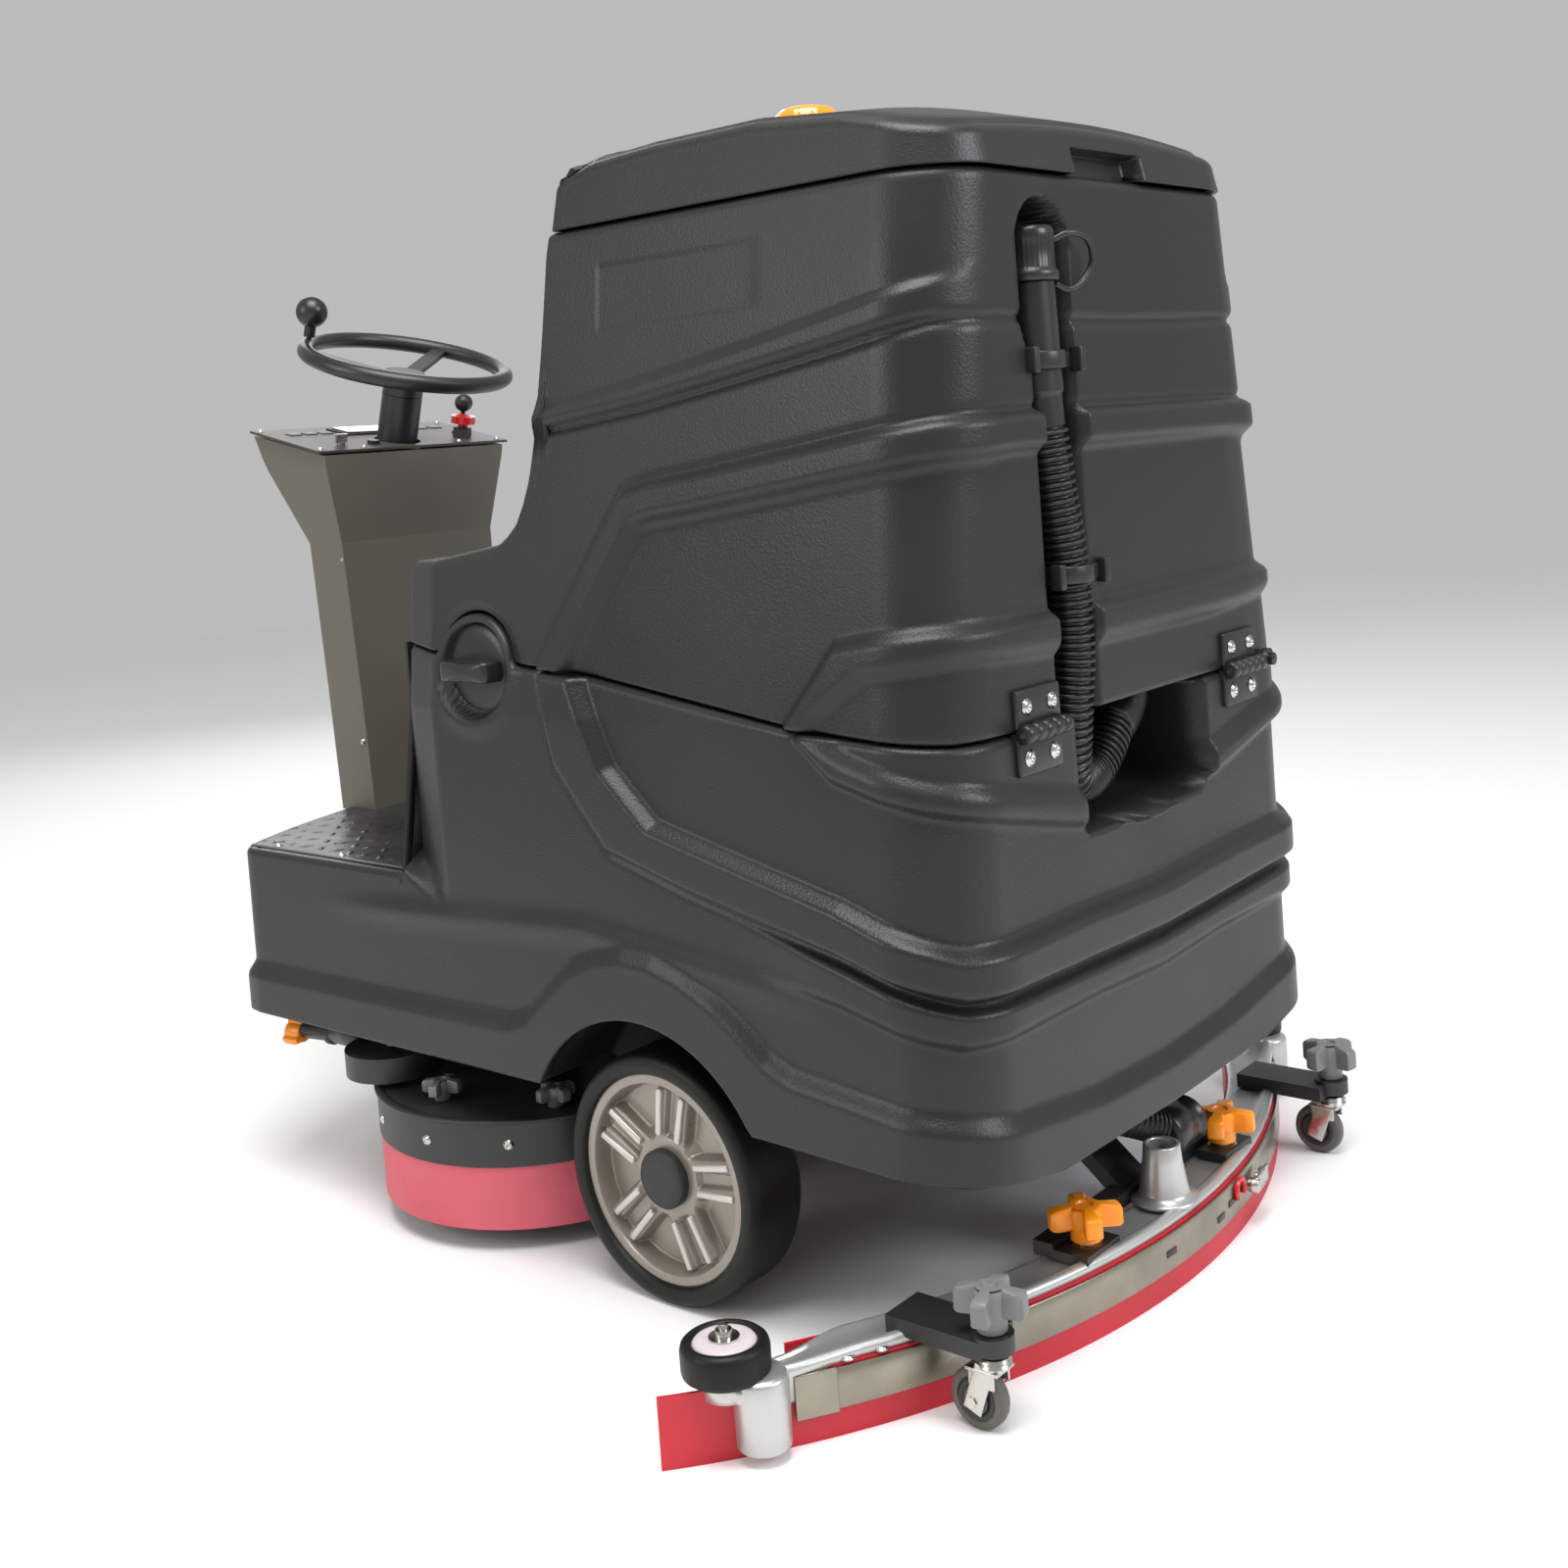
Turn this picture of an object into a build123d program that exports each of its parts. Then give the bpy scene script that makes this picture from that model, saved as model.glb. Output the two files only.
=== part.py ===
from build123d import *
import math
import os

# Ride-on floor scrubber. Millimetres, +Z up, driver faces -Y, the machine's left is +X.
# Everything is drawn with Y = 0 at the rear axle, then moved so the origin is the middle of its floor plan.

# ---- Overall sizes ----
PANEL_FRONT = -999.0  # foremost point, the console panel's front edge
TAIL = 515.0  # rearmost point, the castor knobs
CENTRE_Y = (PANEL_FRONT + TAIL) / 2
GAP = 0.4  # clearance between pieces that don't touch

# ---- Body ----
HALF_WIDTH = 400.0
BODY_BOTTOM, SILL_TOP = 240.0, 475.0
NOSE_Y, NOSE_CORNER = -910.0, (370.0, -805.0)
SEAT_FRONT, SEAT_CORNER = -424.0, (370.0, 335.0)
REAR_Y, REAR_ROUND = 460.0, 90.0
WALL = 8.0
TANK_TOP, TANK_HALF_TOP = 1280.0, 335.0
PARTING = ((-460, 781), (-396, 776), (-47, 748), (252, 701), (500, 681))
PARTING_GAP = 1.5
SEAT_HALF, SEAT_FLOOR, SEAT_BACK_Y = 285.0, 790.0, -128.0
TANK_FLOOR = (778.0, 790.0)
TANK_MOUTH = 60.0

# ---- Running gear ----
WHEEL_R, WHEEL_W, WHEEL_X, HUB_R = 150.0, 90.0, 347.0, 128.0
AXLE_R, AXLE_HALF = 12.5, 386.0
ARCH_R = 196.0
DRIVE_Y, DRIVE_R, DRIVE_W = -800.0, 115.0, 75.0
KINGPIN_R = 20.0
RUN_FIT = 0.05

# ---- Steering wheel and console ----
STEER_C, STEER_TILT = (0.0, -832.0, 1178.0), 18.2
RIM_R, RIM_TUBE = 158.0, 13.0
PANEL_TILT = 13.3
PANEL_C = (0.0, -910.0, 1060.5)

# ---- Brush deck ----
BRUSH_X, BRUSH_Y, BRUSH_R, DECK_R = 210.0, -400.0, 200.0, 225.0
SKIRT_BOTTOM, BAND_BOTTOM, DECK_TOP = 30.0, 112.0, 171.0
POST_R = 12.0

# ---- Squeegee ----
ARC_Y, ARC_R = -485.0, 970.0  # centre and radius of the rear blade in plan
BLADE_HALF, BLADE_T, BLADE_H = 648.0, 4.0, 75.0
CAST_DEEP, CAST_Z, CAST_TOP = 62.0, 46.0, 81.0
TUBE_Y, TUBE_TOP, TUBE_R, TUBE_BORE = 448.0, 149.0, 20.5, 17.0
BUMPER = (584.0, 274.0)
BUMPER_R = 46.0
CASTOR, CASTOR_R, CASTOR_TRAIL = (408.0, 477.0), 32.0, 20.0
LIFT_PIVOT = (180.0, 212.0)
SWING_Y = 240.0

# ---- Hinges and caps ----
PIN_Y, PIN_Z, PIN_R = 476.0, 684.0, 3.5
HINGE_X, HINGE_W = 235.0, 84.0
FILLER = (-255.0, 750.0)
FILLER_R = 68.0
POCKET = (150.0, 316.0, 552.0, 706.0)  # half-width, front Y, bottom and top of the rear hose pocket
CHANNEL = (88.0, 203.0, 385.0)  # X span and front Y of the drain hose channel


def box(x, y, z):
    """A box from its spans along X, Y and Z."""
    return Pos((x[0] + x[1]) / 2, (y[0] + y[1]) / 2, (z[0] + z[1]) / 2) * Box(
        x[1] - x[0], y[1] - y[0], z[1] - z[0]
    )


def rod(r, x, y, z):
    """A cylinder of radius r along the one axis that is given as a span."""
    at = [v if isinstance(v, (int, float)) else (v[0] + v[1]) / 2 for v in (x, y, z)]
    if not isinstance(x, (int, float)):
        return Pos(*at) * Rot(0, 90, 0) * Cylinder(r, x[1] - x[0])
    if not isinstance(y, (int, float)):
        return Pos(*at) * Rot(90, 0, 0) * Cylinder(r, y[1] - y[0])
    return Pos(*at) * Cylinder(r, z[1] - z[0])


def side_prism(points, half):
    """An outline in the Y-Z plane, as wide as 2 * half along X."""
    face = make_face(Polyline(*[(0, y, z) for y, z in points], close=True))
    return extrude(face, half, dir=(1, 0, 0), both=True)


def front_prism(points, y):
    """An outline in the X-Z plane, extruded over the span y."""
    face = make_face(Polyline(*[(x, y[0], z) for x, z in points], close=True))
    return extrude(face, y[1] - y[0], dir=(0, 1, 0))


def mirrored(points):
    """An outline's right half, given from front to back, closed by its mirror image about X = 0."""
    return points + [(-a, b) for a, b in reversed(points)]


def save(node, *shapes):
    """Write one node, with each of its separate pieces as its own solid."""
    solids = [s for shape in shapes for s in shape.solids()]
    export_step(Pos(0, -CENTRE_Y, 0) * Compound(children=solids), f"parts/{node}.step")


def plan(z, half, front, rear, corner):
    """A rounded floor plan at height z, with its front edge straight and its rear corners round."""
    sketch = Pos(0, (front + rear) / 2, z) * Rectangle(2 * half, rear - front)
    rear_corners = sketch.vertices().sort_by(Axis.Y)[-2:]
    return fillet(rear_corners, corner)


def sill_prism(inset, z):
    """The footwell's bowed plan, from the round nose to the rear corners."""
    half, nose, rear = HALF_WIDTH - inset, NOSE_Y + inset, REAR_Y - inset
    cx, cy = NOSE_CORNER[0] - inset, NOSE_CORNER[1] + inset * 0.6
    line = [
        ThreePointArc((-cx, cy), (0, nose), (cx, cy)),
        Polyline((cx, cy), (half, cy + 40), (half, rear), (-half, rear), (-half, cy + 40), (-cx, cy)),
    ]
    face = Pos(0, 0, z[0]) * make_face(Curve() + line)
    solid = extrude(face, z[1] - z[0])
    rear_edges = solid.edges().filter_by(Axis.Z).sort_by(Axis.Y)[-2:]
    return fillet(rear_edges, REAR_ROUND - inset)


def seat_prism(inset, z):
    """The seat column's plan, with its chamfered front corners."""
    half, rear = HALF_WIDTH - inset, REAR_Y - inset
    front, chamfer = SEAT_FRONT + inset, SEAT_CORNER[0] - inset
    points = mirrored([(chamfer, front), (half, -SEAT_CORNER[1] + inset * 0.6), (half, rear)])
    face = make_face(Polyline(*[(a, b, z[0]) for a, b in points], close=True))
    solid = extrude(face, z[1] - z[0])
    rear_edges = solid.edges().filter_by(Axis.Z).sort_by(Axis.Y)[-2:]
    return fillet(rear_edges, REAR_ROUND - inset)


def below_parting(offset):
    """Everything under the parting line, moved up by offset."""
    return side_prism([(y, z + offset) for y, z in PARTING] + [(500, 0), (-1000, 0), (-1000, 781)], 500)


def hose_pocket(grow):
    """The pocket in the rear face where the drain hose bends, grown by a wall thickness."""
    half, front, bottom, top = POCKET
    return box((-half - grow, half + grow), (front - grow, REAR_Y + 60), (bottom - grow, top + grow))


def hose_channel(grow):
    """The upright channel for the drain hose, with a round top."""
    x0, x1, front = CHANNEL
    mid, r = (x0 + x1) / 2, (x1 - x0) / 2
    straight = box((x0 - grow, x1 + grow), (front - grow, REAR_Y + 60), (600, 1196))
    return straight + rod(r + grow, mid, (front - grow, REAR_Y + 60), 1196)


def filler_bump(grow):
    """The round boss of the solution tank's filler, on the left side."""
    return rod(FILLER_R + 4 + grow, (HALF_WIDTH - 48, HALF_WIDTH + 20 * (grow > 0)), *FILLER)


# ---- Lower body: solution tank and skirt in one moulding, with wheel wells ----
def lower_body():
    column = (SILL_TOP - 40, 800)
    outer = sill_prism(0, (BODY_BOTTOM, SILL_TOP)) + seat_prism(0, column) + filler_bump(0)
    inner = sill_prism(WALL, (BODY_BOTTOM - 1, SILL_TOP - WALL)) + seat_prism(WALL, column)
    outer = outer & (below_parting(-PARTING_GAP) + filler_bump(0))
    inner = inner - hose_pocket(WALL) - filler_bump(WALL)
    for side in (-1, 1):
        inner -= rod(ARCH_R + WALL, sorted((side * 277, side * 410)), 0, WHEEL_R)
    shell = outer - inner - hose_pocket(0)
    for side in (-1, 1):
        shell -= rod(ARCH_R, sorted((side * 285, side * 410)), 0, WHEEL_R)
        shell -= rod(AXLE_R + 8, sorted((side * 260, side * 300)), 0, WHEEL_R)
    shell -= rod(44, (HALF_WIDTH - 60, HALF_WIDTH + 10), *FILLER)
    return shell


os.makedirs("parts", exist_ok=True)
save("lower_body", lower_body())


# ---- Upper body: recovery tank and seat base in one moulding, hinged at the rear ----
def tank_plan(inset, low, high):
    """The body's plan, lofted from the parting line up to the lid."""
    ends = []
    for z in (low, high):
        share = (z - 700) / (TANK_TOP - 700)
        half = HALF_WIDTH + (TANK_HALF_TOP - HALF_WIDTH) * max(share, -0.1) - inset
        ends.append(plan(z, min(half, HALF_WIDTH), -460, REAR_Y - inset, REAR_ROUND - inset))
    return loft(ends)


def upper_side(inset):
    """The upper body's side outline: seat wing, tank front and rear face."""
    wing = [(-424 + inset, 700), (-424 + inset, 872), (-405, 886 - inset), (-333, 889 - inset)]
    front = [(-214, 906), (-178, 935), (-154, 990), (-143, 1050), (-131, 1158), (-122, TANK_TOP)]
    slope = [(y + inset, z - inset * 0.5) for y, z in front[:-1]]
    return wing + slope + [(front[-1][0] + inset, TANK_TOP), (500, TANK_TOP), (500, 600)]


def upper_body():
    outer = tank_plan(0, 660, TANK_TOP) & side_prism(upper_side(0), 450)
    chamfer = seat_prism(0, (600, 1400))
    outer = outer & chamfer
    seat_bay = box((-SEAT_HALF, SEAT_HALF), (-500, SEAT_BACK_Y), (SEAT_FLOOR, 1000))
    back_bay = box((-SEAT_HALF + 25, SEAT_HALF - 25), (-300, -110), (960, 1215))
    outer = outer - seat_bay - back_bay
    tank = tank_plan(12, 790, TANK_TOP) & box((-400, 400), (-86, 460), (TANK_FLOOR[1], TANK_TOP + 1))
    rim = plan(1262, TANK_HALF_TOP - TANK_MOUTH, -60, REAR_Y - 100, 60)
    mouth = extrude(rim, 40)
    tank = (tank - box((-500, 500), (-500, 500), (1262, 1300))) + mouth
    tank = tank - hose_channel(10) - hose_pocket(10)
    under = tank_plan(12, 660, 790) & box((-380, 380), (-410, REAR_Y - 12), (600, TANK_FLOOR[0]))
    under = (under & seat_prism(12, (600, 800))) - hose_pocket(10) - filler_bump(12) - hose_channel(10)
    shell = outer - tank - under - hose_pocket(0) - hose_channel(0) - filler_bump(4)
    return shell - below_parting(PARTING_GAP)


save("upper_body", upper_body())


# ---- Lid of the recovery tank, hinged at its front edge ----
def lid_block(inset):
    """The lid's outer form, drawn in by inset all round."""
    low = TANK_TOP + 1.0
    ends = [
        plan(low - inset, TANK_HALF_TOP - inset, -122 + inset, REAR_Y + 4 - inset, 92 - inset),
        plan(1390, TANK_HALF_TOP - 22 - inset, -108 + inset, REAR_Y - 16 - inset, 80 - inset),
    ]
    crown = Pos(0, 150, 1385 - inset - 2400) * Sphere(2400)
    top = [(-130, 1364), (-60, 1386), (200, 1386), (REAR_Y, 1340), (REAR_Y + 10, 1300)]
    outline = [(-130, low - inset)] + [(y, z - inset) for y, z in top] + [(REAR_Y + 10, low - inset)]
    return loft(ends) & crown & side_prism(outline, 400)


def tank_lid():
    grip = (77, REAR_Y - 22, 1310)
    lip = box((-grip[0] - 8, grip[0] + 8), (grip[1] - 8, REAR_Y + 20), (TANK_TOP + 1, grip[2] + 8))
    recess = box((-grip[0], grip[0]), (grip[1], REAR_Y + 20), (TANK_TOP, grip[2]))
    barrel = rod(4, (-60, 60), -127, 1282) + box((-60, 60), (-127, -116), (1282, 1286))
    return lid_block(0) - lid_block(WALL) + (lip & lid_block(0)) + barrel - recess


save("tank_lid", tank_lid())
save("beacon_lens", rod(44, 0, 25, (1386, 1424)) + rod(36, 0, 25, (1424, 1437)))


# ---- Seat: two foam cushions on the seat base ----
def cushion(x, y, z, r):
    """A block with round upright edges."""
    block = box(x, y, z)
    return fillet(block.edges().filter_by(Axis.Z), r)


save("seat_cushion", cushion((-270, 270), (-418, SEAT_BACK_Y - 24), (SEAT_FLOOR + GAP, 880), 45))
save("seat_back", cushion((-240, 240), (-205, -112), (962, 1205), 30))
save("vacuum_motor", rod(62, 150, -290, (650, TANK_FLOOR[0] - 1)) + rod(40, 150, -290, (630, 650)))


# ---- Rear hinges: two leaves with knuckles about one pin, four screws each ----
def hinge_leaf(x, z, knuckles):
    """A leaf against the rear face, with the knuckles' X spans along the pin."""
    leaf = box((x - HINGE_W / 2, x + HINGE_W / 2), (REAR_Y + GAP, REAR_Y + 8), z)
    near = z[1] if z[0] < PIN_Z else z[0]
    for a, b in knuckles:
        arm = box((x + a, x + b), (REAR_Y + GAP, PIN_Y), sorted((near, PIN_Z)))
        leaf = leaf + arm + rod(9, (x + a, x + b), PIN_Y, PIN_Z)
    return leaf - rod(PIN_R + RUN_FIT, (x - 50, x + 50), PIN_Y, PIN_Z)


HINGES = (-HINGE_X, HINGE_X)
LOWER_Z, UPPER_Z = (642, 674), (694, 726)
OUTER_KNUCKLES, MIDDLE_KNUCKLE = ((-42, -15), (15, 42)), ((-14.5, 14.5),)
SCREW_X, UPPER_SCREW_Z, LOWER_SCREW_Z = 25, 710, 658
save("hinge_lower_leaves", *[hinge_leaf(x, LOWER_Z, OUTER_KNUCKLES) for x in HINGES])
save("hinge_upper_leaves", *[hinge_leaf(x, UPPER_Z, MIDDLE_KNUCKLE) for x in HINGES])
save("hinge_pins", *[rod(PIN_R, (x - 44, x + 44), PIN_Y, PIN_Z) for x in HINGES])


def hinge_screw(x, z):
    return rod(6.5, x, (REAR_Y + 8, REAR_Y + 11), z)


screw_x = [x + s * SCREW_X for x in HINGES for s in (-1, 1)]
save("hinge_upper_screws", *[hinge_screw(x, UPPER_SCREW_Z) for x in screw_x])


# ---- Drain hose: a corrugated hose from a capped cuff to an elbow in the pocket ----
HOSE_R, HOSE_Y = 27.0, 426.0
hose_route = [
    (148, HOSE_Y, 1160), (146, HOSE_Y + 1, 1030), (136, HOSE_Y + 3, 940), (124, HOSE_Y + 4, 850),
    (119, HOSE_Y + 2, 760), (124, HOSE_Y - 2, 690), (112, HOSE_Y - 10, 612), (52, HOSE_Y - 20, 586),
    (0, HOSE_Y - 26, 610), (-52, HOSE_Y - 36, 652),
]


def tangent_radii(points):
    """The largest corner radii that the neighbouring straight runs leave room for."""
    radii = []
    for a, b, c in zip(points, points[1:], points[2:]):
        into, out = Vector(*b) - Vector(*a), Vector(*c) - Vector(*b)
        half_turn = math.radians(into.get_angle(out)) / 2
        radii.append(0.45 * min(into.length, out.length) / math.tan(half_turn))
    return radii


def hose(points, r):
    """A tube of straight runs joined by tangent arcs."""
    path = FilletPolyline(*points, radius=tangent_radii(points))
    section = Plane(origin=path @ 0, z_dir=path % 0) * Circle(r)
    return sweep(section, path=path)


elbow = rod(33, (-100, -56), HOSE_Y - 36, 664) + rod(30, -78, HOSE_Y - 36, (664, POCKET[3] - GAP))
save("drain_hose", hose(hose_route, HOSE_R) + elbow)
cap = rod(30, 148, HOSE_Y, (1161, 1222)) + rod(33, 148, HOSE_Y, (1161, 1172))
save("drain_hose_cap", cap)


def hose_clip(x, y, z):
    """A snap-in clip: a ring round the hose, with ears out to the channel's sides."""
    ring = rod(HOSE_R + 6, x, y, (z - 9, z + 9))
    ears = box((CHANNEL[0] + GAP, CHANNEL[1] - GAP), (y - 6, y + 6), (z - 9, z + 9))
    return ring + ears - rod(HOSE_R + 1, x, y, (z - 10, z + 10))


save("hose_clips", hose_clip(148, HOSE_Y + 1, 1075), hose_clip(122, HOSE_Y + 4, 838))


# ---- Solution filler cap, with a grip across it ----
cap_x = HALF_WIDTH - 34
grip = box((HALF_WIDTH, HALF_WIDTH + 24), (FILLER[0] - 46, FILLER[0] + 46), (FILLER[1] - 11, FILLER[1] + 11))
save("filler_cap", rod(43, (cap_x, HALF_WIDTH), *FILLER) + rod(56, (HALF_WIDTH + GAP, HALF_WIDTH + 8), *FILLER) + grip)

# ---- Chassis: a rear pan with flanges, a box spine and the steering head ----
PAN_X, PAN_Y, PAN_Z = 262.0, (-205.0, 340.0), (246.0, 252.0)
SPINE_Z = (380.0, 460.0)


def chassis_frame():
    frame = box((-PAN_X, PAN_X), PAN_Y, PAN_Z)
    for side in (-1, 1):
        frame += box(sorted((side * (PAN_X - 6), side * PAN_X)), PAN_Y, (PAN_Z[0], 300))
        frame += box(sorted((side * 236, side * 258)), (-40, 40), (118, PAN_Z[0]))
        frame += box(sorted((side * 20, side * 34)), (150, 210), (190, PAN_Z[0]))
        frame += box(sorted((side * 20, side * 262)), (-218, PAN_Y[0]), (PAN_Z[0], 420))
    frame += box((-60, 60), (-218, PAN_Y[0]), (PAN_Z[0], SPINE_Z[1]))
    frame += box((-60, 60), (-860, -218), SPINE_Z)
    for y in (-470, -330):
        frame -= rod(POST_R + RUN_FIT, 0, y, (370, 470))
    frame -= rod(KINGPIN_R + RUN_FIT, 0, DRIVE_Y, (370, 470))
    frame -= rod(AXLE_R + RUN_FIT, (-300, 300), 0, WHEEL_R)
    return frame - rod(8 + RUN_FIT, (-60, 60), *LIFT_PIVOT)


save("chassis_frame", chassis_frame())
save("rear_axle", rod(AXLE_R, (-AXLE_HALF, AXLE_HALF), 0, WHEEL_R))
BATTERY = (248.0, 172.0, 270.0)
battery_places = [(x, y) for x in (-127, 127) for y in (-95, 85)]
save("battery_pack", *[
    Pos(x, y, PAN_Z[1] + BATTERY[2] / 2) * Box(*BATTERY) for x, y in battery_places
])

# ---- Footwell: tread plate, console tower, panel ----
PLATE_TOP = SILL_TOP + 5


PLATE_SCREWS = [(side * 372, y) for side in (-1, 1) for y in (-445, -745, -595)]


def tread_plate():
    """The plate, with a cut-out for the tower's foot and a hole for each screw."""
    plate = sill_prism(14, (SILL_TOP, PLATE_TOP)) - box((-500, 500), (SEAT_FRONT - 4, 500), (400, 600))
    plate -= box((-142, 142), (-1000, -820), (400, 600))
    for x, y in PLATE_SCREWS:
        plate -= rod(6 + RUN_FIT, x, y, (400, 600))
    return plate


save("tread_plate", tread_plate())
screws = [rod(6, x, y, (SILL_TOP, PLATE_TOP + 3)) for x, y in PLATE_SCREWS]
screws += [hinge_screw(x, LOWER_SCREW_Z) for x in screw_x]
save("body_screws", *screws)

TOWER_SIDE = [(-907, SILL_TOP), (-822, SILL_TOP), (-836, 900), (-822, 1036), (-997, 1077), (-985, 1040), (-919, 900)]
TOWER_FRONT = [(140, SILL_TOP), (144, 665), (151, 900), (178, 1020), (186, 1100)]


def tower(inset):
    """The tower's side outline crossed with its front outline, drawn in by inset."""
    middle = -870
    side = [(y + inset * (1 if y < middle else -1), z - inset * (z > 1000)) for y, z in TOWER_SIDE]
    front = mirrored([(x - inset, z) for x, z in TOWER_FRONT])
    return side_prism(side, 250) & front_prism(front, (-1010, -800))


panel = Plane(
    origin=PANEL_C, x_dir=(1, 0, 0),
    z_dir=(0, math.sin(math.radians(PANEL_TILT)), math.cos(math.radians(PANEL_TILT))),
)
hollow = tower(0) - tower(3)
save("console_tower", hollow - panel * Box(340, 140, 40) - box((-20, 20), (-1000, -900), (460, PLATE_TOP)))
KEY_AT, HORN_AT, STOP_AT, LEVER_AT, COLUMN_AT = (120, 52), (62, 58), (-126, 50), (-152, 18), (0, 40)


def control_panel():
    """The sloping panel with its holes, the stop button's collar and the column's bearing."""
    plate = Pos(0, 0, 2) * Box(380, 182, 4)
    plate += Pos(0, -42, 5.2) * Box(120, 56, 2.5)
    plate += Pos(*STOP_AT, 12) * Cylinder(15, 18)
    for at, r in ((KEY_AT, 6 + RUN_FIT), (HORN_AT, 10 + GAP), (STOP_AT, 8 + RUN_FIT), (LEVER_AT, 12)):
        plate -= Pos(*at, 0) * Cylinder(r, 60)
    return panel * (plate - Pos(*COLUMN_AT, 0) * Cylinder(37, 60))


save("control_panel", control_panel())
save("start_key", panel * (Pos(*KEY_AT, -3) * Cylinder(6, 22) + Pos(*KEY_AT, 14) * Box(20, 4, 14)))
save("horn_button", panel * (Pos(*HORN_AT, 0) * Cylinder(10, 20)))
save("stop_button", panel * (Pos(*STOP_AT, 8) * Cylinder(8, 40) + Pos(*STOP_AT, 34) * Cylinder(20, 12)))
lever = Pos(*LEVER_AT, -2) * Rot(0, 90, 0) * Cylinder(9, 14) + Pos(*LEVER_AT, 24) * Cylinder(4, 48) + Pos(*LEVER_AT, 56) * Sphere(15)
save("direction_lever", panel * lever)

# ---- Steering: column, wheel with three spokes, spinner knob ----
steer = Plane(
    origin=STEER_C, x_dir=(1, 0, 0),
    z_dir=(0, math.sin(math.radians(STEER_TILT)), math.cos(math.radians(STEER_TILT))),
)
save("steering_column", steer * (Pos(0, 0, -106) * Cylinder(32, 106) - Pos(0, 0, -80) * Cylinder(10.06, 70)))
KNOB_ANGLE = -49.0
knob_at = Rot(0, 0, KNOB_ANGLE) * Pos(RIM_R, 0, 0)


def steering_wheel():
    wheel = Torus(RIM_R, RIM_TUBE) + Pos(0, 0, -34) * Cylinder(32, 36) + Pos(0, 0, -78) * Cylinder(10, 60)
    for turn in (90, 210, 330):
        spoke = Rot(0, 0, turn) * Pos(RIM_R / 2 + 6, 0, -13) * Rot(0, -10, 0) * Box(RIM_R - 22, 24, 8)
        wheel += spoke
    return wheel + knob_at * Pos(0, 0, 24) * Cylinder(4, 28)


save("steering_wheel", steer * steering_wheel())
knob = Pos(0, 0, 26) * Cylinder(9, 22) + Pos(0, 0, 55) * Sphere(25)
knob -= Pos(0, 0, 24) * Cylinder(4 + RUN_FIT, 30)
save("spinner_knob", steer * (knob_at * knob))
pedal_plane = Plane(origin=(-240, -715, 486), x_dir=(1, 0, 0), z_dir=(0, 0.42, 0.908))
pedal = Pos(0, -70, 8) * Box(84, 150, 8) + Pos(0, 6, 8) * Rot(0, 90, 0) * Cylinder(7, 84)
save("accelerator_pedal", pedal_plane * pedal)


# ---- Front drive: fork with kingpin, motor, and wheel ----
def drive_fork():
    fork = box((-62, 62), (DRIVE_Y - 45, DRIVE_Y + 45), (236, 254)) + rod(KINGPIN_R, 0, DRIVE_Y, (250, 464))
    for side in (-1, 1):
        x = sorted((side * 46, side * 58))
        fork += box(x, (DRIVE_Y - 24, DRIVE_Y + 24), (DRIVE_R, 240)) + rod(24, x, DRIVE_Y, DRIVE_R)
    return fork + rod(10, (-58, 46), DRIVE_Y, DRIVE_R)


save("drive_fork", drive_fork())
save("drive_motor", rod(48, (58, 150), DRIVE_Y, DRIVE_R))
tyre = rod(DRIVE_R, (-DRIVE_W / 2, DRIVE_W / 2), DRIVE_Y, DRIVE_R)
save("drive_wheel", tyre - rod(10 + RUN_FIT, (-60, 60), DRIVE_Y, DRIVE_R))


# ---- Rear wheels: cast hub with a bearing bore, and a rubber tyre ----
def rear_wheel(side, name):
    inner, outer = side * (WHEEL_X - WHEEL_W / 2), side * (WHEEL_X + WHEEL_W / 2)
    hub_span = sorted((side * (WHEEL_X - 38), side * (WHEEL_X + 38)))
    span = sorted((inner, outer))
    hub = rod(HUB_R - 0.1, hub_span, 0, WHEEL_R)
    hub -= rod(HUB_R - 14, sorted((side * (WHEEL_X + 22), side * 400)), 0, WHEEL_R)
    hub += rod(38, sorted((side * WHEEL_X, side * (WHEEL_X + 42))), 0, WHEEL_R)
    save(f"{name}_wheel_hub", hub - rod(AXLE_R + RUN_FIT, sorted((0, side * (AXLE_HALF + 1))), 0, WHEEL_R))
    tyre = rod(WHEEL_R, span, 0, WHEEL_R) - rod(HUB_R, (-500, 500), 0, WHEEL_R)
    edges = tyre.edges().filter_by(GeomType.CIRCLE).sort_by(lambda e: e.radius)[-2:]
    save(f"{name}_tyre", fillet(edges, 14))


rear_wheel(1, "left")
rear_wheel(-1, "right")


# ---- Brush deck: a housing over two discs, its splash skirt, motors, knobs and guide rollers ----
def deck_plan(r, z):
    return rod(r, BRUSH_X, BRUSH_Y, z) + rod(r, -BRUSH_X, BRUSH_Y, z)


def deck_housing():
    shell = deck_plan(DECK_R, (BAND_BOTTOM, DECK_TOP)) - deck_plan(DECK_R - 7, (BAND_BOTTOM - 1, DECK_TOP - 6))
    for side in (-1, 1):
        shell -= rod(18, side * BRUSH_X, BRUSH_Y, (150, 180))
    for y in (-470, -330):
        shell += rod(POST_R, 0, y, (DECK_TOP - 4, 440))
    return shell


save("deck_housing", deck_housing())
skirt = deck_plan(DECK_R - 2, (SKIRT_BOTTOM, BAND_BOTTOM - 0.1)) - deck_plan(DECK_R - 6, (0, 200))
save("splash_skirt", skirt)


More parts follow.
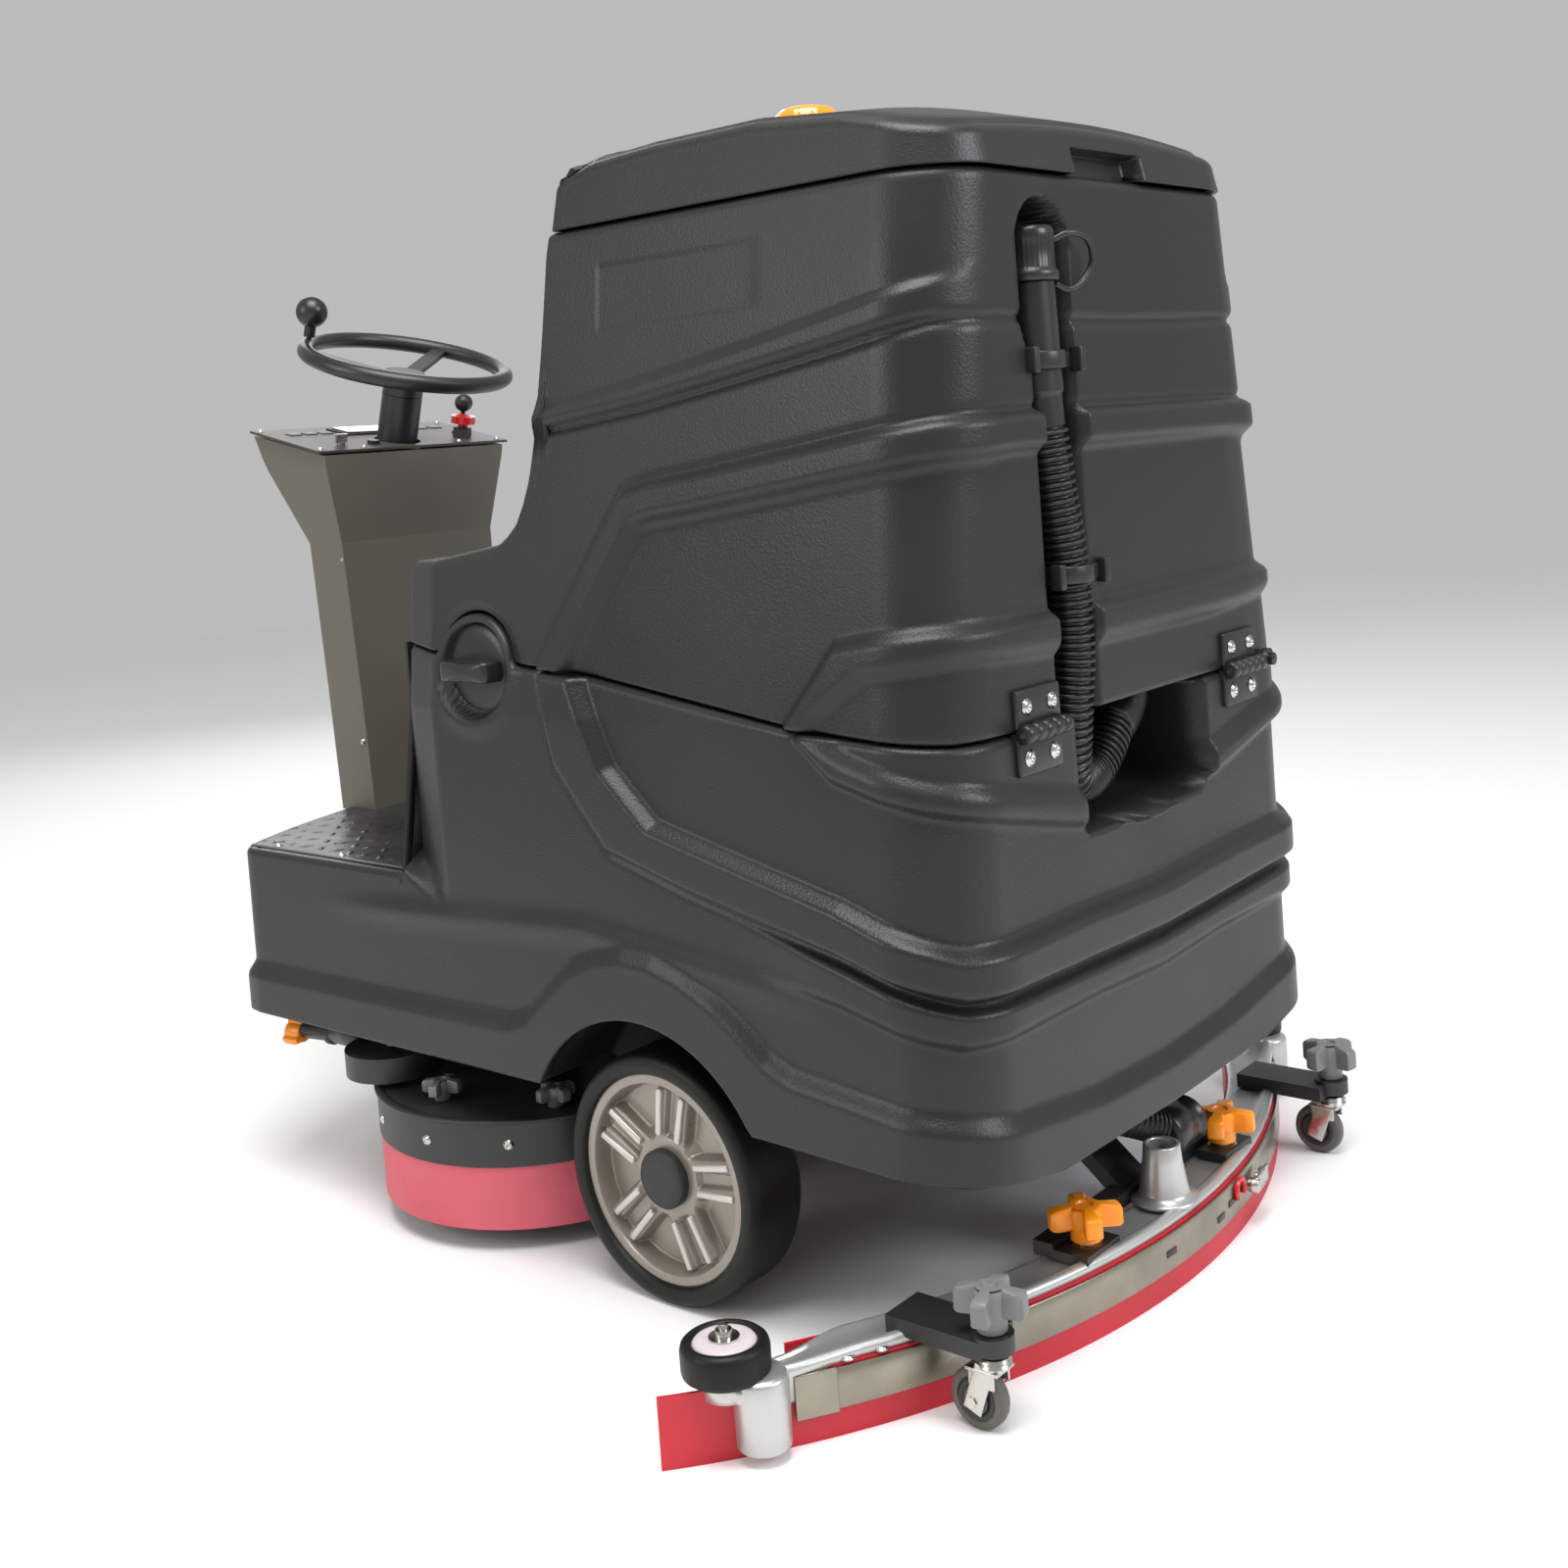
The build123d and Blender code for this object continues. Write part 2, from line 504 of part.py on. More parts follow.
def star_knob(r, height, lobes=4):
    """A hand knob: a round hub with lobes, standing on z = 0."""
    knob = Pos(0, 0, height / 2) * Cylinder(r * 0.45, height)
    for i in range(lobes):
        lobe = Pos(r * 0.55, 0, height * 0.7) * Box(r * 0.9, r * 0.42, height * 0.6)
        knob += Rot(0, 0, 20 + 360 / lobes * i) * lobe
    return knob


deck_knob_places = [(sx * x, y) for sx in (-1, 1) for x, y in ((378, -408), (318, -252))]
save("deck_knobs", *[Pos(x, y, DECK_TOP + GAP) * star_knob(27, 28) for x, y in deck_knob_places])


def brush_motor(x):
    return rod(55, x, BRUSH_Y, (DECK_TOP + GAP, 330)) + rod(12, x, BRUSH_Y, (132, DECK_TOP + 4))


save("brush_motors", brush_motor(-BRUSH_X), brush_motor(BRUSH_X))


def brush(x):
    """A disc brush: bristles, back plate and hub, with a bore for the motor's shaft."""
    disc = rod(BRUSH_R, x, BRUSH_Y, (70, 88)) + rod(BRUSH_R - 6, x, BRUSH_Y, (25, 70))
    hub = rod(32, x, BRUSH_Y, (88, 158))
    return disc + hub - rod(12.08, x, BRUSH_Y, (128, 160))


save("left_brush", brush(BRUSH_X))
save("right_brush", brush(-BRUSH_X))
ROLLER = (345.0, -548.0, 68.0)


def guide_roller(x):
    roller = rod(ROLLER[2], x, ROLLER[1], (180, 214))
    return roller + rod(10, x, ROLLER[1], (DECK_TOP + GAP, 180)) + rod(9, x, ROLLER[1], (214, 218))


save("guide_rollers", guide_roller(ROLLER[0]), guide_roller(-ROLLER[0]))
fittings = [rod(22, 352, (-790, -752), 196), rod(20, 330, (-700, -640), 206), box((318, 360), (-752, -700), (190, 226))]
save("solution_fittings", *fittings)


# ---- Lift arm and squeegee ----
def arc_band(inner, outer, z, half):
    """A slice of a ring about the blade's centre, from X = -half to half."""
    ring = rod(outer, 0, ARC_Y, z) - rod(inner, 0, ARC_Y, z)
    return ring & box((-half, half), (0, 600), z)


def lift_arm():
    arm = box((-18, 18), (166, 268), (200, 224)) + rod(12, (-18, 18), *LIFT_PIVOT)
    arm += rod(8, (-34, 34), *LIFT_PIVOT)
    return arm - rod(10 + RUN_FIT, 0, SWING_Y, (190, 230))


save("lift_arm", lift_arm())


def squeegee_brackets():
    """The tow bracket, from its swing pin down to the casting, and the two castor arms."""
    tow = rod(10, 0, SWING_Y, (180, 230)) + box((-30, 30), (SWING_Y - 24, 300), (176, 188))
    tow += side_prism([(288, 176), (300, 188), (408, 98), (408, 86), (394, 86)], 30)
    tow += box((-200, 200), (392, 418), (CAST_TOP + GAP, 98)) + box((-200, -130), (392, 462), (CAST_TOP + GAP, 92))
    tow += box((130, 200), (392, 462), (CAST_TOP + GAP, 92))
    pieces = [tow]
    for side in (-1, 1):
        x, y = side * CASTOR[0], CASTOR[1]
        arm = box(sorted((side * 372, side * 430)), (358, y), (CAST_TOP + GAP, 100)) + rod(22, x, y, (86, 104))
        pieces.append(arm - rod(8 + RUN_FIT, x, y, (70, 120)))
    return pieces


save("squeegee_brackets", *squeegee_brackets())


def squeegee_casting():
    """The aluminium beam, its ends bent out to the bumper seats, and the suction tube."""
    beam = arc_band(ARC_R - CAST_DEEP, ARC_R - 6, (CAST_Z, CAST_TOP), 560)
    for side in (-1, 1):
        beam += rod(28, side * 570, 306, (14, CAST_TOP))
        beam += rod(26, side * BUMPER[0], BUMPER[1], (CAST_Z, CAST_TOP))
        beam += rod(9, side * BUMPER[0], BUMPER[1], (CAST_TOP - 1, 124))
    cone = Pos(0, TUBE_Y, CAST_TOP + 20) * Cone(30, TUBE_R, 44)
    tube = cone + rod(TUBE_R, 0, TUBE_Y, (CAST_TOP + 40, TUBE_TOP))
    beam = beam - rod(ARC_R - BLADE_T - GAP, 0, ARC_Y, (0, CAST_Z - 1))
    slot = arc_band(ARC_R - BLADE_T - GAP, ARC_R + GAP, (0, BLADE_H + GAP), BLADE_HALF + 10)
    beam = beam - slot + tube
    return beam - rod(TUBE_BORE, 0, TUBE_Y, (CAST_Z - 5, TUBE_TOP + 1))


save("squeegee_casting", squeegee_casting())
save("squeegee_band", arc_band(ARC_R + GAP, ARC_R + 3.4, (30, 72), 532))
rear_blade = arc_band(ARC_R - BLADE_T, ARC_R, (0, BLADE_H), BLADE_HALF)
front_blade = arc_band(ARC_R - CAST_DEEP - BLADE_T, ARC_R - CAST_DEEP - GAP, (2, BLADE_H), 530)
save("squeegee_blades", rear_blade, front_blade)
clamp_places = [(-164, 440), (164, 440)]
save("clamp_knobs", *[
    Pos(x, y, 92 + GAP) * (Cylinder(6, 30, align=(Align.CENTER, Align.CENTER, Align.MIN)) + star_knob(42, 44))
    for x, y in clamp_places
])


def bumper_roller(side):
    x, y = side * BUMPER[0], BUMPER[1]
    return rod(BUMPER_R, x, y, (CAST_TOP + 1, 119)) - rod(9 + RUN_FIT, x, y, (80, 120))


save("left_bumper_roller", bumper_roller(1))
save("right_bumper_roller", bumper_roller(-1))


def castor(side, name):
    """A swivelling castor: knob above the arm, fork below it, wheel trailing in the fork."""
    x, y = side * CASTOR[0], CASTOR[1]
    axle_y, axle_z = y - CASTOR_TRAIL, CASTOR_R
    fork = rod(8, x, y, (70, 128)) + box((x - 15, x + 15), (y - 32, y + 14), (69, 73))
    for ear in (-15, 12):
        fork += box((x + ear, x + ear + 3), (axle_y - 10, y + 12), (axle_z - 8, 72))
    fork += rod(4, (x - 15, x + 15), axle_y, axle_z)
    save(f"{name}_castor_fork", fork)
    wheel = rod(CASTOR_R, (x - 10, x + 10), axle_y, axle_z)
    save(f"{name}_castor_wheel", wheel - rod(4 + RUN_FIT, (x - 20, x + 20), axle_y, axle_z))


castor(1, "left")
castor(-1, "right")
save("castor_knobs", *[
    Pos(s * CASTOR[0], CASTOR[1], 104 + GAP) * (star_knob(38, 51) - Pos(0, 0, 12) * Cylinder(8 + RUN_FIT, 26))
    for s in (-1, 1)
])
latch_x = -172
latch_y = ARC_Y + math.sqrt((ARC_R + 3.4) ** 2 - latch_x ** 2)
latch = box((latch_x - 26, latch_x + 26), (latch_y + 6, latch_y + 19), (36, 66))
save("squeegee_latch", latch + rod(5, latch_x - 26, latch_y + 12, (33, 69)))
suction_route = [(96, 376, 200), (44, 398, 190), (-8, 412, 172), (-52, 420, 150)]
suction = hose(suction_route, 22) + Pos(-74, 424, 140) * Rot(0, 90, 0) * Cylinder(29, 62)
save("suction_hose", suction)
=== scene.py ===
import math

import bmesh
import bpy
import numpy as np
from mathutils import Matrix, Vector


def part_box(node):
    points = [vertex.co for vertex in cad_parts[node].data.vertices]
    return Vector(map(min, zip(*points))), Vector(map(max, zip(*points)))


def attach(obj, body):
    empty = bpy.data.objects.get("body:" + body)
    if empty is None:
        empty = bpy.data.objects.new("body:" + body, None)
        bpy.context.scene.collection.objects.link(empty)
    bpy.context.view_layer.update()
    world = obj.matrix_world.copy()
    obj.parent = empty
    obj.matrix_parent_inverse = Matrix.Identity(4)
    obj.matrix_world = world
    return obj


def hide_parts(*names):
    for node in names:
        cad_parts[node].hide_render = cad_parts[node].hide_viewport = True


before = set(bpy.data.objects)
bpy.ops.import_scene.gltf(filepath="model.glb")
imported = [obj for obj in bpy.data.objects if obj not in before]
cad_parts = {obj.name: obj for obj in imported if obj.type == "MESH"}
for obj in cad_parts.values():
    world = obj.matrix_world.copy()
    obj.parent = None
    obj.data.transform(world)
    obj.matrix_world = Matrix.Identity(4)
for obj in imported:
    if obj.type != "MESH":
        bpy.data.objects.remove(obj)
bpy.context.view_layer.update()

# ---- The view: a camera behind the machine's left rear corner, level with the console ----
# The rear axle's middle is the point that the whole machine is laid out from.
MM = 0.001
axle_low, axle_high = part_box("rear_axle")
AXLE_Y = (axle_low[1] + axle_high[1]) / 2 / MM
camera_data = bpy.data.cameras.new("camera")
camera_data.sensor_width, camera_data.lens = 36.0, 42.03
camera_data.shift_x, camera_data.shift_y = 0.00625, -0.1625
camera_data.clip_start, camera_data.clip_end = 0.05, 60.0
heading, dip, lean = -2.43362, 0.04857, -0.07355
ahead = Vector((math.cos(heading) * math.cos(dip), math.sin(heading) * math.cos(dip), -math.sin(dip)))
level_right = ahead.cross(Vector((0, 0, 1))).normalized()
level_up = level_right.cross(ahead)
right = level_right * math.cos(lean) + level_up * math.sin(lean)
up = level_up * math.cos(lean) - level_right * math.sin(lean)
turn = Matrix((right, up, -ahead)).transposed().to_4x4()
place = Matrix.Translation(Vector((1873.2, 1521.8 + AXLE_Y, 1009.8)) * MM)
camera = bpy.data.objects.new("camera", camera_data)
camera.matrix_world = place @ turn
bpy.context.scene.collection.objects.link(camera)
bpy.context.scene.camera = camera

# ---- The room: a pale matt floor under a plain bright sky ----
# Four square soft lamps light it: overhead, behind, and at the left and front.


def area_lamp(name, at, aim, size, power, tint=(1.0, 1.0, 1.0)):
    """A square lamp of the given width, turned to face a point."""
    data = bpy.data.lights.new(name, "AREA")
    data.shape, data.size, data.energy, data.color = "SQUARE", size, power, tint
    lamp = bpy.data.objects.new(name, data)
    lamp.location = at
    lamp.rotation_euler = (Vector(aim) - Vector(at)).to_track_quat("-Z", "Y").to_euler()
    bpy.context.scene.collection.objects.link(lamp)


area_lamp("ceiling_lamp", (0.9, 0.9, 4.2), (0, 0, 0.6), 2.6, 190)
area_lamp("rear_lamp", (-0.9, 4.2, 2.8), (0, 0, 0.9), 1.5, 95, (0.90, 0.95, 1.0))
area_lamp("left_lamp", (4.2, -1.6, 2.4), (0, 0, 0.6), 2.0, 62, (1.0, 0.96, 0.90))
area_lamp("front_lamp", (-2.5, -3.6, 2.6), (0, 0, 0.7), 2.6, 45)
world = bpy.data.worlds.new("studio")
world.use_nodes = True
world.node_tree.nodes["Background"].inputs["Color"].default_value = (1.0, 1.0, 1.0, 1.0)
world.node_tree.nodes["Background"].inputs["Strength"].default_value = 0.5
bpy.context.scene.world = world
bpy.context.scene.view_settings.view_transform = "Standard"


def mesh_object(name, points, faces):
    """A smooth-shaded object from an (n, 3) array of millimetre points, measured from the rear axle."""
    mesh = bpy.data.meshes.new(name)
    placed = (np.asarray(points, float).reshape(-1, 3) + (0, AXLE_Y, 0)) * MM
    mesh.from_pydata(placed.tolist(), [], faces)
    mesh.polygons.foreach_set("use_smooth", np.ones(len(mesh.polygons), bool))
    obj = bpy.data.objects.new(name, mesh)
    bpy.context.scene.collection.objects.link(obj)
    return obj


def grid_faces(rows, cols, wrap_rows=False, wrap_cols=False):
    """The quads of a grid of points stored row by row; a wrapped side joins its last line to its first."""
    i = np.arange(rows if wrap_rows else rows - 1)[:, None]
    j = np.arange(cols if wrap_cols else cols - 1)[None, :]
    i2, j2 = (i + 1) % rows, (j + 1) % cols
    quads = np.stack([i * cols + j, i * cols + j2, i2 * cols + j2, i2 * cols + j], -1)
    return quads.reshape(-1, 4).tolist()


floor = mesh_object("floor", [(-9e3, -9e3, 0), (9e3, -9e3, 0), (9e3, 9e3, 0), (-9e3, 9e3, 0)], [(0, 1, 2, 3)])
floor_paint = bpy.data.materials.new("floor_paint")
floor_paint.use_nodes = True
floor_paint.node_tree.nodes["Principled BSDF"].inputs["Base Color"].default_value = (0.9, 0.9, 0.9, 1)
floor_paint.node_tree.nodes["Principled BSDF"].inputs["Roughness"].default_value = 0.6
floor.data.materials.append(floor_paint)

# ---- Finishes: every material is the same node group with its own tones, gloss and grain ----
# The group works on object coordinates: slow cloudiness, fine specks, uneven gloss and a grain height.


def node_group(name, numbers, outputs):
    """A shader node group with number inputs and the named colour or value outputs."""
    group = bpy.data.node_groups.new(name, "ShaderNodeTree")
    for label, value in numbers:
        kind = "NodeSocketColor" if isinstance(value, tuple) else "NodeSocketFloat"
        socket = group.interface.new_socket(label, in_out="INPUT", socket_type=kind)
        socket.default_value = value
    for label, kind in outputs:
        group.interface.new_socket(label, in_out="OUTPUT", socket_type=kind)
    return group, group.nodes.new("NodeGroupInput"), group.nodes.new("NodeGroupOutput")


def noise(tree, coords, scale, detail=2.0):
    """A noise texture on the given coordinates, returned as its value socket."""
    node = tree.nodes.new("ShaderNodeTexNoise")
    node.inputs["Detail"].default_value = detail
    tree.links.new(coords, node.inputs["Vector"])
    if isinstance(scale, (int, float)):
        node.inputs["Scale"].default_value = scale
    else:
        tree.links.new(scale, node.inputs["Scale"])
    return node.outputs["Fac"]


def span(tree, value, low, high, to_low, to_high):
    """Map a value from one range to another, clamped."""
    node = tree.nodes.new("ShaderNodeMapRange")
    tree.links.new(value, node.inputs["Value"])
    for label, number in (("From Min", low), ("From Max", high), ("To Min", to_low), ("To Max", to_high)):
        if isinstance(number, (int, float)):
            node.inputs[label].default_value = number
        else:
            tree.links.new(number, node.inputs[label])
    return node.outputs["Result"]


def blend_colours(tree, share, first, second):
    """Mix two colours by a share from 0 to 1."""
    node = tree.nodes.new("ShaderNodeMix")
    node.data_type = "RGBA"
    tree.links.new(share, node.inputs["Factor"])
    for socket, colour in ((node.inputs[6], first), (node.inputs[7], second)):
        if isinstance(colour, tuple):
            socket.default_value = colour
        else:
            tree.links.new(colour, socket)
    return node.outputs[2]


def surface_group():
    """Two tones mixed by slow cloudiness and fine specks, uneven gloss and a fine grain height."""
    numbers = (
        ("Tone", (0.1, 0.1, 0.1, 1.0)), ("Second Tone", (0.12, 0.12, 0.12, 1.0)), ("Cloud Scale", 4.0),
        ("Grain Scale", 900.0), ("Rough Low", 0.4), ("Rough High", 0.6),
    )
    outputs = (("Color", "NodeSocketColor"), ("Roughness", "NodeSocketFloat"), ("Height", "NodeSocketFloat"))
    group, inside, outside = node_group("surface", numbers, outputs)
    coords = group.nodes.new("ShaderNodeTexCoord").outputs["Object"]
    cloud = noise(group, coords, inside.outputs["Cloud Scale"], 5.0)
    grain = noise(group, coords, inside.outputs["Grain Scale"], 2.0)
    share = span(group, cloud, 0.35, 0.65, 0.0, 1.0)
    tone = blend_colours(group, share, inside.outputs["Tone"], inside.outputs["Second Tone"])
    speck = span(group, grain, 0.3, 0.7, 0.0, 0.16)
    group.links.new(blend_colours(group, speck, tone, inside.outputs["Second Tone"]), outside.inputs["Color"])
    uneven = span(group, cloud, 0.3, 0.7, inside.outputs["Rough Low"], inside.outputs["Rough High"])
    group.links.new(uneven, outside.inputs["Roughness"])
    group.links.new(grain, outside.inputs["Height"])
    return group


SURFACE = surface_group()


def finish(name, tone, second, rough, grain=900.0, bump=0.1, depth=0.0004, cloud=4.0, **constants):
    """A material: the shared surface group feeding a Principled shader whose other sockets are constants."""
    material = bpy.data.materials.new(name)
    material.use_nodes = True
    tree = material.node_tree
    shader = tree.nodes["Principled BSDF"]
    group = tree.nodes.new("ShaderNodeGroup")
    group.node_tree = SURFACE
    group.inputs["Tone"].default_value = (*tone, 1.0)
    group.inputs["Second Tone"].default_value = (*second, 1.0)
    group.inputs["Cloud Scale"].default_value = cloud
    group.inputs["Grain Scale"].default_value = grain
    group.inputs["Rough Low"].default_value, group.inputs["Rough High"].default_value = rough
    relief = tree.nodes.new("ShaderNodeBump")
    relief.inputs["Strength"].default_value, relief.inputs["Distance"].default_value = bump, depth
    tree.links.new(group.outputs["Color"], shader.inputs["Base Color"])
    tree.links.new(group.outputs["Roughness"], shader.inputs["Roughness"])
    tree.links.new(group.outputs["Height"], relief.inputs["Height"])
    tree.links.new(relief.outputs["Normal"], shader.inputs["Normal"])
    for label, value in constants.items():
        shader.inputs[label.replace("_", " ")].default_value = value
    return material


def dress(node, material):
    """Give a piece that comes from the CAD its finish."""
    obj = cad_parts[node]
    obj.data.materials.clear()
    obj.data.materials.append(material)

# ---- Body mouldings: lower body, upper body and lid share one plan outline and one way of moulding ----
# Each is a rotationally moulded polyethylene skin: a wall wrapped round the plan, with raised belts and
# grooves pressed into it, rolled edges, and a second skin behind it that gives the wall its thickness.
REAR, CORNER = 460.0, 90.0
PARTING_Y, PARTING_Z = (-460, -396, -47, 252, 500), (781, 776, 748, 701, 681)
FILLER_Y, FILLER_Z, FILLER_COLLAR = -255.0, 750.0, 72.0
CORNER_START = REAR - CORNER
CORNER_END = CORNER_START + CORNER * math.pi / 2

body_plastic = finish(
    "body_plastic", (0.0135, 0.0145, 0.0125), (0.018, 0.019, 0.0165), (0.32, 0.45),
    grain=330.0, bump=0.6, depth=0.0007, cloud=3.0, Specular_IOR_Level=0.36,
)


def ramp(x, low, high):
    """0 below low, 1 above high, and a smooth step between."""
    t = np.clip((x - low) / (high - low), 0.0, 1.0)
    return t * t * (3 - 2 * t)


def half_width(z):
    """Half the body's width at height z: upright below the parting line, leaning in above it."""
    return 400.0 - 65.0 * np.clip((z - 700.0) / 580.0, 0.0, 1.1)


def line_side(s, z, points):
    """Signed distance from a polyline in the (s, z) plane: positive above or left of its direction."""
    best = np.full(np.shape(s), 1e9)
    sign = np.ones(np.shape(s))
    for (s0, z0), (s1, z1) in zip(points, points[1:]):
        ds, dz = s1 - s0, z1 - z0
        t = np.clip(((s - s0) * ds + (z - z0) * dz) / (ds * ds + dz * dz), 0.0, 1.0)
        away = np.hypot(s - s0 - t * ds, z - z0 - t * dz)
        side = np.where(ds * (z - z0) - dz * (s - s0) >= 0, 1.0, -1.0)
        nearer = away < best - 1e-6
        sign = np.where(nearer, side, sign)
        best = np.minimum(best, away)
    return best * sign


def belt(distance, width, height, soft=9.0):
    """A raised strip on the negative side of a line, with soft shoulders."""
    return height * ramp(-distance, -soft * 0.3, soft) * (1 - ramp(-distance, width, width + soft * 1.6))


def groove(distance, width, depth):
    """A round-bottomed groove along a line."""
    return -depth * np.exp(-((distance / width) ** 2) * 2.5)


def plan_points(where, t, half, inset):
    """The plan outline drawn in by inset; where is 0 left side, 1 left corner, 2 rear, 3 and 4 the right."""
    side = np.where(where < 2, 1.0, -1.0)
    r = np.maximum(CORNER - inset, 10.0)
    x_in, y_in = half - inset - r, REAR - inset - r
    on_corner = (where == 1) | (where == 3)
    on_rear = where == 2
    angle = np.where(on_corner, t, 0.0)
    y_side = np.minimum(t, CORNER_START) + (y_in - CORNER_START) * ramp(t, 0.0, CORNER_START)
    x = side * np.where(on_corner, x_in + r * np.cos(angle), half - inset)
    y = np.where(on_corner, y_in + r * np.sin(angle), y_side)
    fixed = 215.0
    past = np.clip((np.abs(t) - fixed) / (310.0 - fixed), 0.0, 1.0)
    x_rear = np.sign(t) * np.where(np.abs(t) <= fixed, np.abs(t), fixed + past * (x_in - fixed))
    x_rear = np.where(x_in < fixed, t / 310.0 * x_in, x_rear)
    return np.where(on_rear, x_rear, x), np.where(on_rear, REAR - inset, y)


def stations(start, dense, step, fine):
    """Places from start to CORNER_START along a side, step apart, and fine apart inside the dense spans."""
    marks, y = [start], start
    while y < CORNER_START:
        near = any(low <= y < high for low, high in dense)
        y += fine if near else step
        marks.append(min(y, CORNER_START))
    return np.array(marks)


def wall_columns(start, dense, rear_dense, step=8.0, fine=3.2):
    """The columns of a wall round both sides and the rear: section number, place and wall coordinate s."""
    left = stations(start, dense, step, fine)
    turn_angles = np.linspace(0, math.pi / 2, 23)[1:-1]
    across, x = [310.0], 310.0
    while x > -310.0:
        near = any(low <= x < high for low, high in rear_dense)
        x -= fine if near else step
        across.append(max(x, -310.0))
    across = np.array(across)
    where = np.concatenate([
        np.zeros(len(left)), np.ones(len(turn_angles)), np.full(len(across), 2),
        np.full(len(turn_angles), 3), np.full(len(left), 4),
    ])
    t = np.concatenate([left, turn_angles, across, turn_angles[::-1], left[::-1]])
    s_left, s_corner = left, CORNER_START + CORNER * turn_angles
    s = np.concatenate([
        s_left, s_corner, CORNER_END + 310.0 - np.abs(across), s_corner[::-1], s_left[::-1],
    ])
    return where, t, s


def mould(name, where, t, insets, z, relief, half=half_width):
    """The left and right lengths of a wall: rows of insets and heights, pushed out along it by relief."""
    cols = np.broadcast_to(where, z.shape), np.broadcast_to(t, z.shape)
    x, y = plan_points(cols[0], cols[1], half(z), insets)
    on_corner = (cols[0] == 1) | (cols[0] == 3)
    side = np.where(cols[0] < 2, 1.0, -1.0)
    nx = np.where(cols[0] == 2, 0.0, side * np.where(on_corner, np.cos(cols[1]), 1.0))
    ny = np.where(cols[0] == 2, 1.0, np.where(on_corner, np.sin(cols[1]), 0.0))
    points = np.stack([x + nx * relief, y + ny * relief, z], -1)
    middle = int(np.argmin(np.abs(t) + 1e4 * (where != 2)))
    return in_lengths(name, points, (0, middle, len(t) - 1))


def in_lengths(name, points, cuts):
    """A wall too long for one piece: separate lengths of it between the given columns."""
    return [
        mesh_object(f"{name}_{k}", points[:, a:b + 1], grid_faces(len(points), b + 1 - a))
        for k, (a, b) in enumerate(zip(cuts, cuts[1:]))
    ]


def thicken(obj, thickness):
    """Give a sheet a second skin behind it, so that it is a closed wall with crisp edges."""
    mesh = bmesh.new()
    mesh.from_mesh(obj.data)
    for edge in mesh.edges:
        edge.smooth = not edge.is_boundary
    mesh.to_mesh(obj.data)
    mesh.free()
    solid = obj.modifiers.new("wall", "SOLIDIFY")
    solid.thickness, solid.offset = thickness * MM, -1.0
    solid.use_rim = True
    return obj


def rows_between(low, high, count):
    """Heights from one edge to another, column by column, evenly spaced."""
    share = np.linspace(0, 1, count)[:, None]
    return low[None, :] * (1 - share) + high[None, :] * share


def parting(y):
    """Height of the line where the upper body rests on the lower one."""
    return np.interp(y, PARTING_Y, PARTING_Z)


def parting_on(where, s):
    """The parting line round the wall, stepping over the filler's collar on the left side."""
    line = parting(np.minimum(s, REAR))
    hump = np.sqrt(np.maximum(FILLER_COLLAR**2 - (s - FILLER_Y) ** 2, 0.0)) + FILLER_Z
    return np.where((where == 0) & (np.abs(s - FILLER_Y) < FILLER_COLLAR), np.maximum(hump, line), line)

# ---- Upper body: recovery tank and seat wings in one moulding, tipping back on the rear hinges ----
# Its wings run forward beside the seat; a channel down its rear holds the drain hose. The wall's outer edge
# rolls over into a rim 98 mm wide and then drops into the seat bay or the tank's mouth.
RIM = 98.0
TANK_FRONT_Y = (-424, -418, -405, -333, -214, -196, -178, -165, -154, -148, -143, -131, -122)
TANK_FRONT_Z = (866, 880, 886, 889, 906, 918, 935, 960, 990, 1020, 1050, 1158, 1280)
CHANNEL_X, CHANNEL_TOP, CHANNEL_DEPTH = (103.0, 201.0), 1248.0, 66.0

upper_where, upper_t, upper_s = wall_columns(
    -424.0, [(-424, -400), (-334, -316), (-216, 16), (236, 336)], [(85, 112), (168, 214)],
)


def upper_relief(where, s, z):
    """Belts, grooves and the label recess of the upper body, as distance out of its wall."""
    top_line = line_side(s, z, [
        (-160, 1066), (32, 1094), (184, 1119), (322, 1145), (438, 1168), (470, 1174),
    ])
    low_line = line_side(s, z, [
        (-170, 1036), (32, 1056), (184, 1078), (322, 1099), (437, 1119), (548, 1121), (821, 1117),
    ])
    fade = 1 - ramp(s, 400, 500)
    out = 9.0 * ramp(-top_line, 0, 12) * (1 - ramp(-low_line, -16, 2)) * fade
    out += groove(low_line, 9.0, 5.5)
    main = line_side(s, z, [
        (-150, 735), (-120, 784), (7, 963), (50, 974), (110, 980), (254, 998), (437, 1021), (566, 1024),
        (821, 1024),
    ])
    out += belt(main, 34.0, 14.0, 11.0) + groove(main, 9.0, 4.0)
    out -= 4.0 * ramp(-main, 44, 60) * (1 - ramp(s, 480, 560))
    eye = line_side(s, z, [
        (236, 690), (254, 712), (321, 795), (370, 803), (436, 808), (634, 806), (821, 806),
    ])
    inner = line_side(s, z, [
        (276, 690), (292, 715), (360, 762), (410, 769), (467, 774), (645, 764), (821, 764),
    ])
    out += 15.0 * ramp(-eye, -3, 13) - 11.0 * ramp(-inner, -2, 11) + groove(inner, 8.0, 3.0)
    edge = np.minimum(np.minimum(s + 35, 210 - s), np.minimum(z - 1156, 1230 - z))
    out -= 1.2 * ramp(edge, -1.5, 1.5)
    out -= 30.0 * np.clip((-335.0 - s) / 89.0, 0, 1)
    hump = np.hypot(s - FILLER_Y, z - FILLER_Z)
    return out - 5.0 * (1 - ramp(hump, 74, 92)) * (where == 0)


